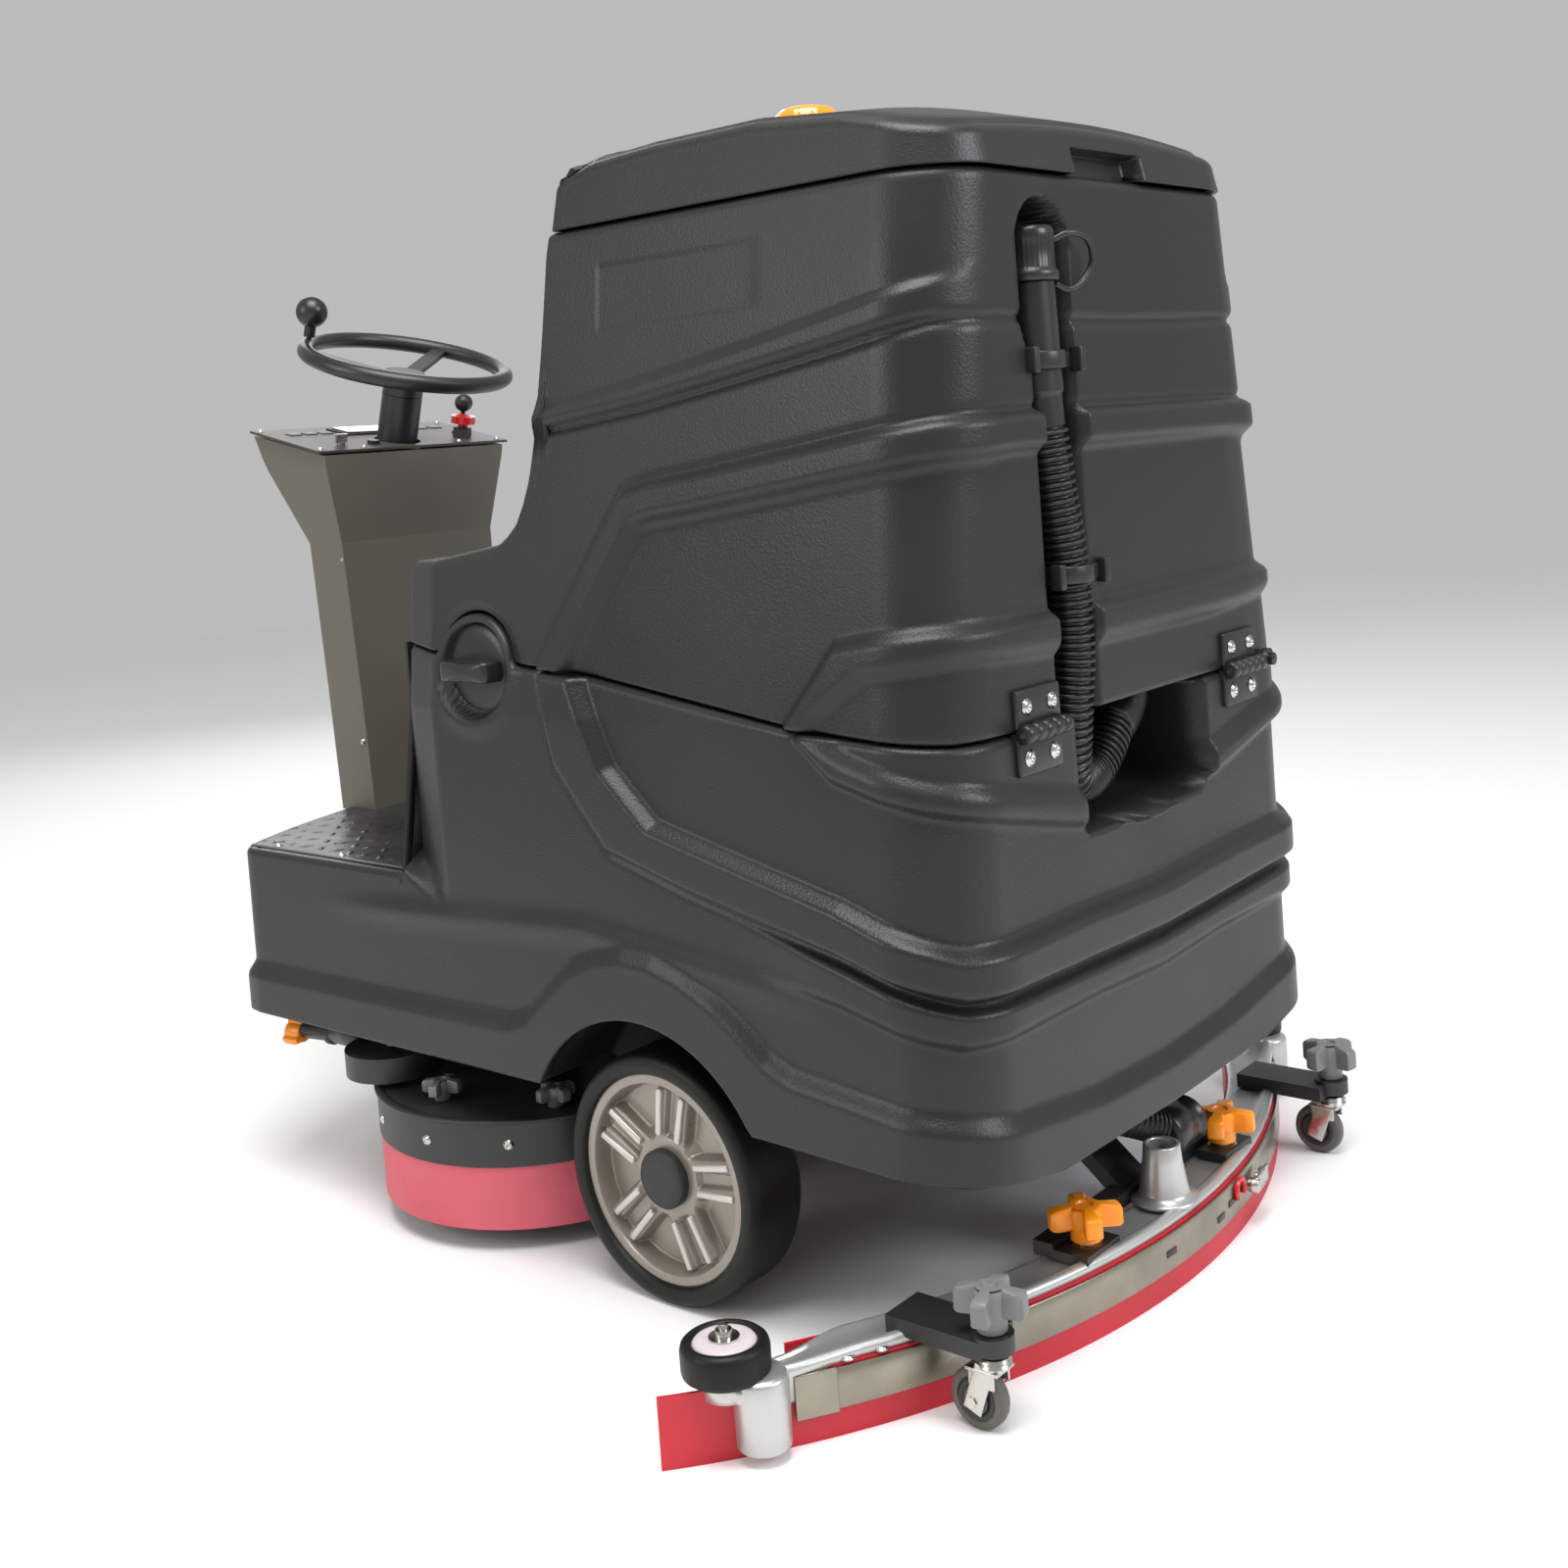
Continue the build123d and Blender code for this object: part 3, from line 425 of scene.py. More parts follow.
def channel_share(x, z):
    """1 inside the hose channel of the rear wall, 0 outside, with rolled edges and a round top."""
    middle, r = sum(CHANNEL_X) / 2, (CHANNEL_X[1] - CHANNEL_X[0]) / 2
    top = np.maximum(z - (CHANNEL_TOP - r), 0.0)
    narrow = 8.0 * ramp(1120 - z, 0, 60)
    away = np.hypot(x - middle + narrow, top) - (r - narrow)
    return 1 - ramp(away, -5.0, 5.0)


upper_low = parting_on(upper_where, upper_s) + 1.5
upper_high = np.interp(upper_s, TANK_FRONT_Y, TANK_FRONT_Z)
ROLL = 12.0
main_z = rows_between(upper_low + 3, upper_high - ROLL, 132)
roll_angle = np.linspace(0, math.pi / 2, 6)[1:, None]
roll_z = upper_high[None, :] - ROLL + ROLL * np.sin(roll_angle)
roll_inset = ROLL - ROLL * np.cos(roll_angle) + 0 * roll_z
inner_profile = ((40.0, 0.0), (RIM - 8, 0.0), (RIM - 2, -2.0), (RIM, -9.0), (RIM + 1, -100.0))
inner_z = np.array([upper_high + dz for _, dz in inner_profile])
inner_z[-1] = np.maximum(inner_z[-1], 792.0)
inner_inset = np.array([np.full(len(upper_s), a) for a, _ in inner_profile])
lip_profile = ((22.0, 0.0), (5.0, 0.0), (1.5, 0.8))
lip_z = np.array([upper_low + dz for _, dz in lip_profile])
lip_inset = np.array([np.full(len(upper_s), a) for a, _ in lip_profile])
upper_z = np.concatenate([lip_z, main_z, roll_z, inner_z])
upper_inset = np.concatenate([lip_inset, 0 * main_z, roll_inset, inner_inset])
pull = np.zeros(len(upper_s))
pull[:5] = (49.0, 26.0, 10.0, 4.0, 1.0)
pull[-5:] = pull[4::-1]
upper_inset = np.clip(upper_inset, pull, RIM - pull)
relief_z = np.clip(upper_z, upper_low + 3, upper_high - ROLL)
relief = upper_relief(upper_where[None, :], upper_s[None, :] + 0 * upper_z, relief_z)
signed_x = np.where(upper_where == 2, upper_t, 999.0)[None, :] + 0 * upper_z
relief = relief * (1 - ramp(upper_inset, 16, 40))
in_channel = channel_share(signed_x, upper_z)
relief = relief * (1 - in_channel) - CHANNEL_DEPTH * in_channel * (upper_inset < 30)
upper_walls = mould("upper_body_wall", upper_where, upper_t, upper_inset, upper_z, relief)
for wall in upper_walls:
    wall.data.materials.append(body_plastic)
    thicken(wall, 6.0)
    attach(wall, "upper_body")


def panel_sheet(name, x, profile, bulge):
    """A panel between the wings: a (y, z) profile carried across x, its y moved by bulge(x, z)."""
    profile = np.array(profile, float)
    grid_x, grid_z = np.meshgrid(x, profile[:, 1])
    grid_y = profile[:, 0][:, None] + bulge(grid_x, grid_z)
    return mesh_object(name, np.stack([grid_x, grid_y, grid_z], -1), grid_faces(*grid_x.shape))


# The tank's front face with its backrest recess, the seat's floor, and the seat base's front edge.
seat_profile = [(-418, 784), (-416, 789), (-408, 792), (-380, 793)]
seat_profile += [(y, 793) for y in np.linspace(-340, -170, 8)] + [(-150, 794), (-141, 799), (-136, 812)]
seat_profile += [(np.interp(z, (812, 960, 1280), (-134, -130, -122)), z) for z in np.linspace(830, 1262, 90)]
seat_profile += [(-119, 1272), (-112, 1279), (-100, 1280), (-34, 1280), (-26, 1278), (-22, 1270), (-22, 1150)]
tank_front = panel_sheet(
    "seat_bay_panel", np.linspace(-292, 292, 118), seat_profile,
    lambda x, z: 16.0 * ramp(262 - np.abs(x), 0, 14) * ramp(z, 955, 970) * (1 - ramp(z, 1212, 1228)),
)
tank_front.data.materials.append(body_plastic)
thicken(tank_front, -5.0)
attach(tank_front, "upper_body")
for piece in (*upper_walls, tank_front):
    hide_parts("upper_body")

# ---- Lower body: solution tank and skirt in one moulding, bolted over the chassis ----
# It carries the footwell sill in front, the seat column, wheel arches and the hose pocket in the rear face.
SILL, ARCH, WHEEL_Z = 478.0, 196.0, 150.0
POCKET_HALF, POCKET_BOTTOM, POCKET_DEEP = 146.0, 552.0, 140.0


def lower_columns():
    """Plan points, outward directions, wall coordinate s and the nose flag, round the whole lower body."""
    dense = [(-432, -412), (-206, 60), (170, 206), (236, 330)]
    left = stations(-765.0, dense, 7.5, 3.5)
    corner_angles = np.linspace(0, math.pi / 2, 22)[1:-1]
    rear = [310.0]
    while rear[-1] > -310.0:
        rear.append(max(rear[-1] - (3.0 if 136 <= abs(rear[-1]) <= 156 else 8.5), -310.0))
    rear = np.array(rear)
    half_loop = [(400.0, y, 1.0, 0.0, y, 0) for y in left]
    for a in corner_angles:
        c, s = math.cos(a), math.sin(a)
        half_loop.append((310 + 90 * c, 370 + 90 * s, c, s, CORNER_START + CORNER * a, 0))
    across = [(x, 460.0, 0.0, 1.0, CORNER_END + 310.0 - abs(x), 0) for x in rear]
    mirrored = [(-x, y, -nx, ny, s, 0) for x, y, nx, ny, s, _ in reversed(half_loop)]
    nose = []
    bow = (910.0 - 805.0) / 370.0**2
    for x in np.linspace(-366, 366, 90):
        slope = 2 * bow * x
        length = math.hypot(1.0, slope)
        nose.append((x, -910.0 + bow * x * x, slope / length, -1.0 / length, -900.0, 1))
    ends = []
    for side in (1, -1):
        bend = [
            (side * (366 + 34 * math.sin(a)), -771.7 - 36.0 * math.cos(a), side * 0.75, -0.66, -850.0, 1)
            for a in np.linspace(0.25, 1.4, 7)
        ]
        ends.append(bend if side == 1 else bend[::-1])
    return np.array(half_loop + across + mirrored + ends[1] + nose + ends[0], float)


lower = lower_columns()
low_x, low_y, low_nx, low_ny, low_s, low_nose = lower.T
on_left = low_x > 300
low_top = np.where(
    (low_nose == 1) | (low_y < -425), SILL, parting_on(np.where(on_left & (low_y < 370), 0, 2), low_s) - 1.5
)
arch_edge = WHEEL_Z + np.sqrt(np.maximum(ARCH**2 - low_s**2, 0.0))
low_bottom = np.interp(low_s, (-900, -205, 194, 406, 481, 575, 821), (244, 244, 244, 236, 227, 210, 206))
low_bottom = np.where((np.abs(low_s) < ARCH) & (low_nose == 0), np.maximum(arch_edge, low_bottom), low_bottom)


def lower_relief(s, z, x, y, left):
    """The flared skirt, belts, grooves, chamfered column corners, filler collar and hose pocket."""
    flare = line_side(s, z, [
        (-1000, 305), (-449, 309), (-225, 313), (-190, 326), (-150, 361), (-106, 397), (-64, 416), (-18, 424),
        (32, 421), (80, 409), (126, 389), (165, 362), (199, 335), (232, 320), (298, 313), (429, 298),
        (515, 283), (668, 263), (821, 257),
    ])
    out = 13.0 * ramp(-flare, -12, 14)
    ditch = line_side(s, z, DITCH)
    shoulder = line_side(s, z, [
        (-82, 800), (-10, 647), (54, 587), (183, 555), (318, 523), (454, 477), (653, 475), (821, 469),
    ])
    out += 19.0 * ramp(-shoulder, -3, 15) * ramp(ditch, -5, 12) + groove(ditch, 11.0, 6.0)
    ledge = line_side(s, z, [(150, 436), (308, 415), (447, 380), (683, 379), (821, 372)])
    fade = ramp(s, 150, 320)
    out += 12.0 * ramp(-ditch, 0, 13) * (1 - ramp(-ledge, -4, 14)) * fade
    crease = line_side(s, z, [(-640, 415), (-401, 427), (-84, 442), (161, 415), (307, 401)])
    out += 5.0 * np.exp(-((crease / 16.0) ** 2)) * (1 - ramp(s, 200, 300)) * ramp(s, -640, -420)
    eye = line_side(s, z, [(236, 700), (254, 700), (316, 646), (430, 614), (654, 562), (700, 556)])
    inner = line_side(s, z, [(276, 700), (292, 694), (336, 672), (430, 644), (654, 598), (700, 590)])
    beyond = ramp(s, 236, 256)
    out += (15.0 * ramp(eye, -3, 13) - 11.0 * ramp(inner, -2, 11) + groove(inner, 8.0, 3.0)) * beyond
    chamfer = np.clip((-335.0 - y) / 89.0, 0, 1) * (y > -440)
    upright = ramp(z + 0.6 * (y + 424), 480, 512) * (s > -850)
    out -= (30.0 * chamfer + 9.0 * (1 - ramp(y, -424, -408)) * (y > -440)) * upright
    from_filler = np.hypot(s - FILLER_Y, z - FILLER_Z)
    ring = 3.0 * (1 - ramp(from_filler, 66, 90)) - 17.0 * (1 - ramp(from_filler, 54, 64))
    out += ring * left
    past_side, past_floor = np.abs(x) - POCKET_HALF + 26, POCKET_BOTTOM + 26 - z
    corner = np.hypot(np.maximum(past_side, 0), np.maximum(past_floor, 0)) - 26.0
    inside = (1 - ramp(corner, -5.0, 5.0)) * (y > 400)
    return out * (1 - inside) - POCKET_DEEP * inside


LOW_ROLL = 8.0
DITCH = (
    (-142, 800), (-106, 642), (-67, 593), (-25, 543), (90, 510), (205, 484), (312, 460), (450, 419),
    (687, 412), (821, 408),
)
row_s, row_z = zip((-425, 461), (-150, 503), (-60, 530), *DITCH[3:])
along_ditch = np.interp(low_s, row_s, row_z)
low_z = np.concatenate([
    rows_between(low_bottom + 1, along_ditch, 60)[:-1], rows_between(along_ditch, low_top - LOW_ROLL, 70),
])
angles = np.linspace(0, math.pi / 2, 5)[1:, None]
top_z = low_top[None, :] - LOW_ROLL + LOW_ROLL * np.sin(angles)
top_inset = LOW_ROLL - LOW_ROLL * np.cos(angles) + 0 * top_z
after = ((14.0, 0.0), (16.0, -1.5), (17.0, -4.5), (46.0, -4.5))
before = ((16.0, 10.0), (14.0, 3.0), (8.0, 0.0), (2.5, 0.0))
low_z = np.concatenate([
    [low_bottom + dz for _, dz in before], low_z, top_z, [low_top + dz for _, dz in after],
])
low_inset = np.concatenate([
    [np.full(len(low_s), a) for a, _ in before], np.zeros((129, len(low_s))), top_inset,
    [np.full(len(low_s), a) for a, _ in after],
])
relief = lower_relief(
    low_s[None, :] + 0 * low_z, np.clip(low_z, low_bottom + 1, low_top - LOW_ROLL),
    low_x[None, :] + 0 * low_z, low_y[None, :] + 0 * low_z, (on_left & (low_y < 0))[None, :],
)
push = relief - low_inset
wide = half_width(low_z) / 400.0
points = np.stack([low_x * wide + low_nx * push, low_y + low_ny * push, low_z], -1)
front = int(np.argmin(np.abs(low_x) + 1e4 * (low_nose == 0)))
points = np.roll(points, -front, axis=1)
points = np.concatenate([points, points[:, :1]], axis=1)
rear = int(np.argmin(np.abs(points[20, :, 0]) + 1e4 * (points[20, :, 1] < 0)))
lower_walls = in_lengths("lower_body_wall", points, (0, rear, points.shape[1] - 1))
for wall in lower_walls:
    wall.data.materials.append(body_plastic)
    thicken(wall, 6.0)
column_profile = [(-427, z) for z in np.linspace(468, 779, 60)]
column_front = panel_sheet(
    "seat_column_panel", np.linspace(-361, 361, 110), column_profile,
    lambda x, z: 1.5 * (np.abs(x) / 361.0) ** 10,
)
column_front.data.materials.append(body_plastic)
thicken(column_front, -5.0)


# The wheel wells' near-black finish is painted shade: it darkens the arch liners to the deep shadow inside
# the arches.
well_painted_shade = finish(
    "well_painted_shade", (0.004, 0.004, 0.0035), (0.006, 0.006, 0.0055), (0.6, 0.75), Specular_IOR_Level=0.2,
)


def wheel_well(side):
    """The box over a rear wheel: a half drum of the arch's radius, closed inside by a flat disc."""
    over = np.linspace(math.radians(29), math.radians(151), 64)
    rings = [(ARCH + 1, 397), (ARCH + 1, 330), (ARCH + 2, 292), (ARCH - 4, 286), (100, 285), (30, 285)]
    points = [
        (side * x, r * math.cos(a), WHEEL_Z + r * math.sin(a)) for r, x in rings for a in over
    ]
    well = mesh_object(f"wheel_well_{'left' if side > 0 else 'right'}", points, grid_faces(len(rings), 64))
    well.data.materials.append(well_painted_shade)
    return thicken(well, 4.0 * side)


wells = [wheel_well(1), wheel_well(-1)]
for piece in (*lower_walls, column_front, *wells):
    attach(piece, "chassis")
    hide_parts("lower_body")

# ---- Lid of the recovery tank: a shallow moulded dome, hinged in front, with a finger recess behind ----
# Its plan is the tank's, with a soft shoulder all round below the crown; the beacon stands near its front.
LID_LOW, LID_MIDDLE, LID_REAR, SHOULDER = 1281.0, 171.0, 464.0, 17.0


def lid_outline(count=44):
    """The lid's plan: nearly square front corners and wide round rear ones, as points and directions."""
    loop = []
    corners = ((321, -108, 14, -90), (243, 372, 92, 0), (-243, 372, 92, 90), (-321, -108, 14, 180))
    for i, (cx, cy, r, start) in enumerate(corners):
        for a in np.radians(start + np.linspace(0, 90, 10 if r < 50 else 26)):
            loop.append((cx + r * math.cos(a), cy + r * math.sin(a), math.cos(a), math.sin(a)))
        next_x, next_y, next_r, next_start = corners[(i + 1) % 4]
        a = math.radians(next_start)
        goal = (next_x + next_r * math.cos(a), next_y + next_r * math.sin(a))
        x, y, dx, dy = loop[-1]
        dense = abs(goal[1] - LID_REAR) < 1 and abs(y - LID_REAR) < 1
        for share in np.linspace(0, 1, 170 if dense else count)[1:-1]:
            loop.append((x + (goal[0] - x) * share, y + (goal[1] - y) * share, dx, dy))
    return np.array(loop).T


def lid_top(x, y):
    """Height of the crown: the side outline, lowered across the width by a wide circle."""
    side = np.interp(y, (-130, -60, 40, 200, 330, LID_REAR), (1360, 1381, 1386, 1386, 1372, 1338))
    return side - x * x / 4800.0


def lid_lean(z):
    """How far the lid's side leans in at height z: 22 mm over 109 mm."""
    return 22.0 * (z - LID_LOW) / 109.0


plan_x, plan_y, out_x, out_y = lid_outline()
edge_top = lid_top(plan_x, plan_y)
level = 0 * edge_top
lid_z = [LID_LOW + 8 + level, LID_LOW + 1 + level, LID_LOW + level]
lid_in = [9.0 + level, 8.0 + level, 2.0 + level]
wall_z = rows_between(LID_LOW + 1.5 + level, edge_top - SHOULDER, 40)
lid_z += list(wall_z)
lid_in += list(lid_lean(wall_z))
for a in np.linspace(0, math.pi / 2, 8)[1:]:
    lid_z.append(edge_top - SHOULDER + SHOULDER * math.sin(a))
    lid_in.append(lid_lean(edge_top - SHOULDER) + SHOULDER * (1 - math.cos(a)))
lid_z, lid_in = np.array(lid_z), np.array(lid_in)
finger = (1 - ramp(np.abs(plan_x)[None, :] + 0 * lid_z, 72, 78)) * (1 - ramp(lid_z, 1307, 1312))
finger = finger * (plan_y > LID_REAR - 4)
lid_in = lid_in + 24.0 * finger
lid_x, lid_y = plan_x - out_x * lid_in, plan_y - out_y * lid_in
inward = np.concatenate([np.linspace(0, 0.12, 8)[1:], np.linspace(0.12, 0.985, 26)[1:]])
crown = []
for share in inward:
    x, y = lid_x[-1] * (1 - share), lid_y[-1] * (1 - share) + LID_MIDDLE * share
    dip = 2.2 * math.exp(-(((share - 0.06) / 0.02) ** 2))
    crown.append(np.stack([x, y, lid_top(x, y) + 4.0 * (1 - (1 - share) ** 2) - dip], -1))
lid_points = np.concatenate([np.stack([lid_x, lid_y, lid_z], -1), np.array(crown)])
faces = grid_faces(*lid_points.shape[:2], wrap_cols=True)
columns = len(plan_x)
faces.append([(lid_points.shape[0] - 1) * columns + i for i in range(columns)])
lid_shell = mesh_object("lid_shell", lid_points, faces)
lid_shell.data.materials.append(body_plastic)
thicken(lid_shell, 5.0)
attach(lid_shell, "lid")
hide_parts("tank_lid")

# ---- Beacon: a moulded amber lens with upright ribs, screwed to the lid ----
# It is turned about the vertical; its ribs are a small ripple of the radius.
# The lens's faint orange emission is a painted glow, which makes its amber look brighter.
amber = finish(
    "amber_lens", (0.95, 0.20, 0.0), (1.0, 0.27, 0.01), (0.12, 0.2), grain=60.0, bump=0.05,
    Emission_Color=(1.0, 0.25, 0.0, 1.0), Emission_Strength=0.12, Coat_Weight=0.6,
)


def turned(name, profile, at, along=(0, 0, 1), count=64, radius=None, ring=False):
    """A closed solid of revolution: (r, h) points from its low end to its high end, about an axis at a point.

    radius(r, h, angle) may move each point in or out, as for ribs or lobes. A ring's profile closes on
    itself; any other has a flat cap at each end."""
    axis = Vector(along).normalized()
    side = Vector((1, 0, 0)) if abs(axis.x) < 0.9 else Vector((0, 1, 0))
    side = (side - axis * side.dot(axis)).normalized()
    third = axis.cross(side)
    r, h = np.array(profile, float).T
    angle = np.linspace(0, 2 * math.pi, count, endpoint=False)
    rr, aa = np.meshgrid(r, angle, indexing="ij")
    hh = np.repeat(h[:, None], count, 1)
    if radius:
        rr = radius(rr, hh, aa)
    points = (
        np.array(at, float) + (rr * np.cos(aa))[..., None] * np.array(side)
        + (rr * np.sin(aa))[..., None] * np.array(third) + hh[..., None] * np.array(axis)
    )
    faces = grid_faces(len(r), count, wrap_rows=ring, wrap_cols=True)
    if not ring:
        faces.append(list(range(count))[::-1])
        faces.append([(len(r) - 1) * count + i for i in range(count)])
    return mesh_object(name, points, faces)


def made(obj, material, body, slot, *replaced, sharp=None):
    """Finish a piece: its material, the body it rides on and the CAD nodes that it stands for; slot is not
    used.
    """
    obj.data.materials.append(material)
    if sharp:
        obj.data.set_sharp_from_angle(angle=math.radians(sharp))
    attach(obj, body)
    if replaced:
        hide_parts(*replaced)
    return obj


beacon = turned(
    "beacon", [(43, 1378), (44, 1384), (44, 1400), (43, 1418), (40, 1427), (33, 1433), (22, 1436), (6, 1437)],
    (0, 25, 0), count=96, radius=lambda r, h, a: r * (1 + 0.012 * np.cos(24 * a) * (h < 1430)),
)
made(beacon, amber, "lid", "beacon_amber", "beacon_lens")

# ---- Seat: two vinyl cushions on foam, screwed to the seat base and to the tank's front ----
# Each is a crowned pad; its cover is inflated as cloth and then settles between its edges.
vinyl = finish(
    "black_vinyl", (0.011, 0.011, 0.012), (0.017, 0.017, 0.018), (0.42, 0.55), grain=700.0, bump=0.3,
)


def pad_form(name, low, high, corner):
    """A cushion blank: a rounded block drawn in from its CAD box, as a closed quad mesh."""
    mesh = bmesh.new()
    bmesh.ops.create_cube(mesh, size=1.0)
    low, high = Vector(low), Vector(high)
    for v in mesh.verts:
        v.co = Vector([low[i] + (high[i] - low[i]) * (v.co[i] + 0.5) for i in range(3)])
    bmesh.ops.bevel(mesh, geom=mesh.edges[:], offset=corner, segments=5, profile=0.6, affect="EDGES")
    data = bpy.data.meshes.new(name)
    mesh.to_mesh(data)
    mesh.free()
    obj = bpy.data.objects.new(name, data)
    bpy.context.scene.collection.objects.link(obj)
    return obj


def apply_modifiers(obj):
    """Bake an object's modifiers into its mesh."""
    baked = bpy.data.meshes.new_from_object(obj.evaluated_get(bpy.context.evaluated_depsgraph_get()))
    obj.modifiers.clear()
    obj.data = baked


def inflate(obj, reach, low, high):
    """Blow the cover up as cloth for 20 frames, then hold each point near its start and inside its box."""
    remesh = obj.modifiers.new("remesh", "REMESH")
    remesh.mode, remesh.voxel_size = "VOXEL", 0.006
    apply_modifiers(obj)
    before = np.empty(len(obj.data.vertices) * 3)
    obj.data.vertices.foreach_get("co", before)
    cloth = obj.modifiers.new("cloth", "CLOTH")
    cloth.settings.use_pressure, cloth.settings.uniform_pressure_force = True, 4.0
    cloth.settings.effector_weights.gravity = 0.0
    for frame_number in range(1, 21):
        bpy.context.scene.frame_set(frame_number)
    apply_modifiers(obj)
    bpy.context.scene.frame_set(1)
    after = np.empty(len(before))
    obj.data.vertices.foreach_get("co", after)
    move = (after - before).reshape(-1, 3)
    length = np.linalg.norm(move, axis=1, keepdims=True)
    move *= np.minimum(1.0, reach / np.maximum(length, 1e-9))
    points = np.clip(before.reshape(-1, 3) + move, np.array(low) + 0.0005, np.array(high) - 0.0005)
    obj.data.vertices.foreach_set("co", points.ravel())
    finer = obj.modifiers.new("finer", "SUBSURF")
    finer.levels = finer.render_levels = 1
    apply_modifiers(obj)
    obj.data.polygons.foreach_set("use_smooth", np.ones(len(obj.data.polygons), bool))


for node, trim, reach in (("seat_cushion", 0.014, 0.018), ("seat_back", 0.012, 0.016)):
    low, high = (np.array(v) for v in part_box(node))
    pad = pad_form(f"{node}_cover", low + trim, high - trim, 0.026)
    inflate(pad, reach, low, high)
    made(pad, vinyl, "upper_body", "black_vinyl", node)

# ---- Hinges: black plates with knuckles round a steel pin, held by button-head screws ----
# The upper plates and every second knuckle tip with the tank; the others stay on the lower body.
black_steel = finish(
    "black_steel", (0.013, 0.013, 0.013), (0.02, 0.02, 0.02), (0.35, 0.5), grain=500.0, bump=0.2,
)
black_plastic = finish(
    "black_plastic", (0.010, 0.010, 0.010), (0.016, 0.016, 0.016), (0.3, 0.45), grain=600.0,
)
bright_steel = finish(
    "bright_steel", (0.62, 0.60, 0.57), (0.5, 0.49, 0.46), (0.16, 0.3), grain=500.0, bump=0.05, Metallic=1.0
)
for node in ("hinge_lower_leaves", "hinge_upper_leaves", "lift_arm", "chassis_frame", "drive_fork"):
    dress(node, black_steel)
for node in ("hinge_pins", "rear_axle"):
    dress(node, bright_steel)


def button_screw(name, at, along, r, body, *replaced):
    """A button-head screw: a low dome with a round socket drawn into its top, on a thin washer."""
    profile = [(r * 1.25, -0.5), (r * 1.25, 0.6), (r, 0.8), (r * 0.97, 1.6), (r * 0.8, 2.6), (r * 0.52, 3.1)]
    profile += [(r * 0.46, 3.0), (r * 0.42, 1.6)]
    return made(turned(name, profile, at, along, 24), bright_steel, body, "bright_steel", *replaced)


for number, x in enumerate((-260, -210, 210, 260)):
    for level, z, body, node in (
        ("high", 711, "upper_body", "hinge_upper_screws"), ("low", 657, "chassis", "body_screws"),
    ):
        button_screw(f"hinge_screw_{level}_{number}", (x, 471, z), (0, 1, 0), 7.5, body, node)
for number, (x, y) in enumerate([(s * 372, y) for s in (-1, 1) for y in (-445, -595, -745)]):
    button_screw(f"plate_screw_{number}", (x, y, 480), (0, 0, 1), 5, "chassis")


def slab(name, middle, across, back, thick, x_way, y_way, z_way, soft):
    """A thin rounded block from its middle, its three sizes and the three directions that it lies along."""
    mesh = bmesh.new()
    bmesh.ops.create_cube(mesh, size=1.0)
    for v in mesh.verts:
        v.co = Vector((v.co.x * across, v.co.y * back, v.co.z * thick))
    bmesh.ops.bevel(mesh, geom=mesh.edges[:], offset=soft, segments=3, profile=0.5, affect="EDGES")
    turn_to = Matrix((x_way, y_way, z_way)).transposed()
    if turn_to.determinant() < 0:
        bmesh.ops.reverse_faces(mesh, faces=mesh.faces[:])
    for v in mesh.verts:
        v.co = turn_to @ v.co + Vector(middle)
    points = [tuple(v.co) for v in mesh.verts]
    faces = [[v.index for v in f.verts] for f in mesh.faces]
    mesh.free()
    return mesh_object(name, points, faces)


UPRIGHT = WAY_X, WAY_Y, WAY_Z = Vector((1, 0, 0)), Vector((0, 1, 0)), Vector((0, 0, 1))
for side in (-1, 1):
    for z, body, level in ((709, "upper_body", "high"), (659, "chassis", "low")):
        plate = slab(f"hinge_plate_{level}_{side}", (side * 235, 465, z), 86, 11, 42, *UPRIGHT, 3.5)
        made(plate, black_plastic, body, "black_plastic")
    for number, x in enumerate((-36, -18, 0, 18, 36)):
        barrel = turned(
            f"hinge_knuckle_{side}_{number}", [(8, -7.6), (10, -6.5), (10.5, 0), (10, 6.5), (8, 7.6)],
            (side * 235 + x, 476, 684), (1, 0, 0), 32,
        )
        made(barrel, black_plastic, "upper_body" if number % 2 else "chassis", "black_plastic")

# ---- Drain hose: corrugated rubber from a smooth cuff down to an elbow on the tank's outlet ----
# Its cuff is closed by a turned cap on a strap; two snap clips hold it in the channel.
rubber = finish(
    "hose_rubber", (0.009, 0.009, 0.009), (0.014, 0.014, 0.014), (0.3, 0.42), grain=300.0, bump=0.1,
)
for node in ("vacuum_motor", "brush_motors", "drive_motor", "battery_pack"):
    dress(node, black_plastic)


def smooth_path(points, count):
    """A Catmull-Rom curve through the points, resampled at even distances."""
    p = np.array(points, float)
    p = np.vstack([2 * p[0] - p[1], p, 2 * p[-1] - p[-2]])
    out = []
    for a, b, c, d in zip(p, p[1:], p[2:], p[3:]):
        t = np.linspace(0, 1, 24, endpoint=False)[:, None]
        curve = 2 * b + (c - a) * t + (2 * a - 5 * b + 4 * c - d) * t**2
        out.append(0.5 * (curve + (3 * b - a - 3 * c + d) * t**3))
    out = np.vstack([*out, p[-2:-1]])
    along = np.concatenate([[0], np.cumsum(np.linalg.norm(np.diff(out, axis=0), axis=1))])
    even = np.linspace(0, along[-1], count)
    return np.stack([np.interp(even, along, out[:, i]) for i in range(3)], -1), even


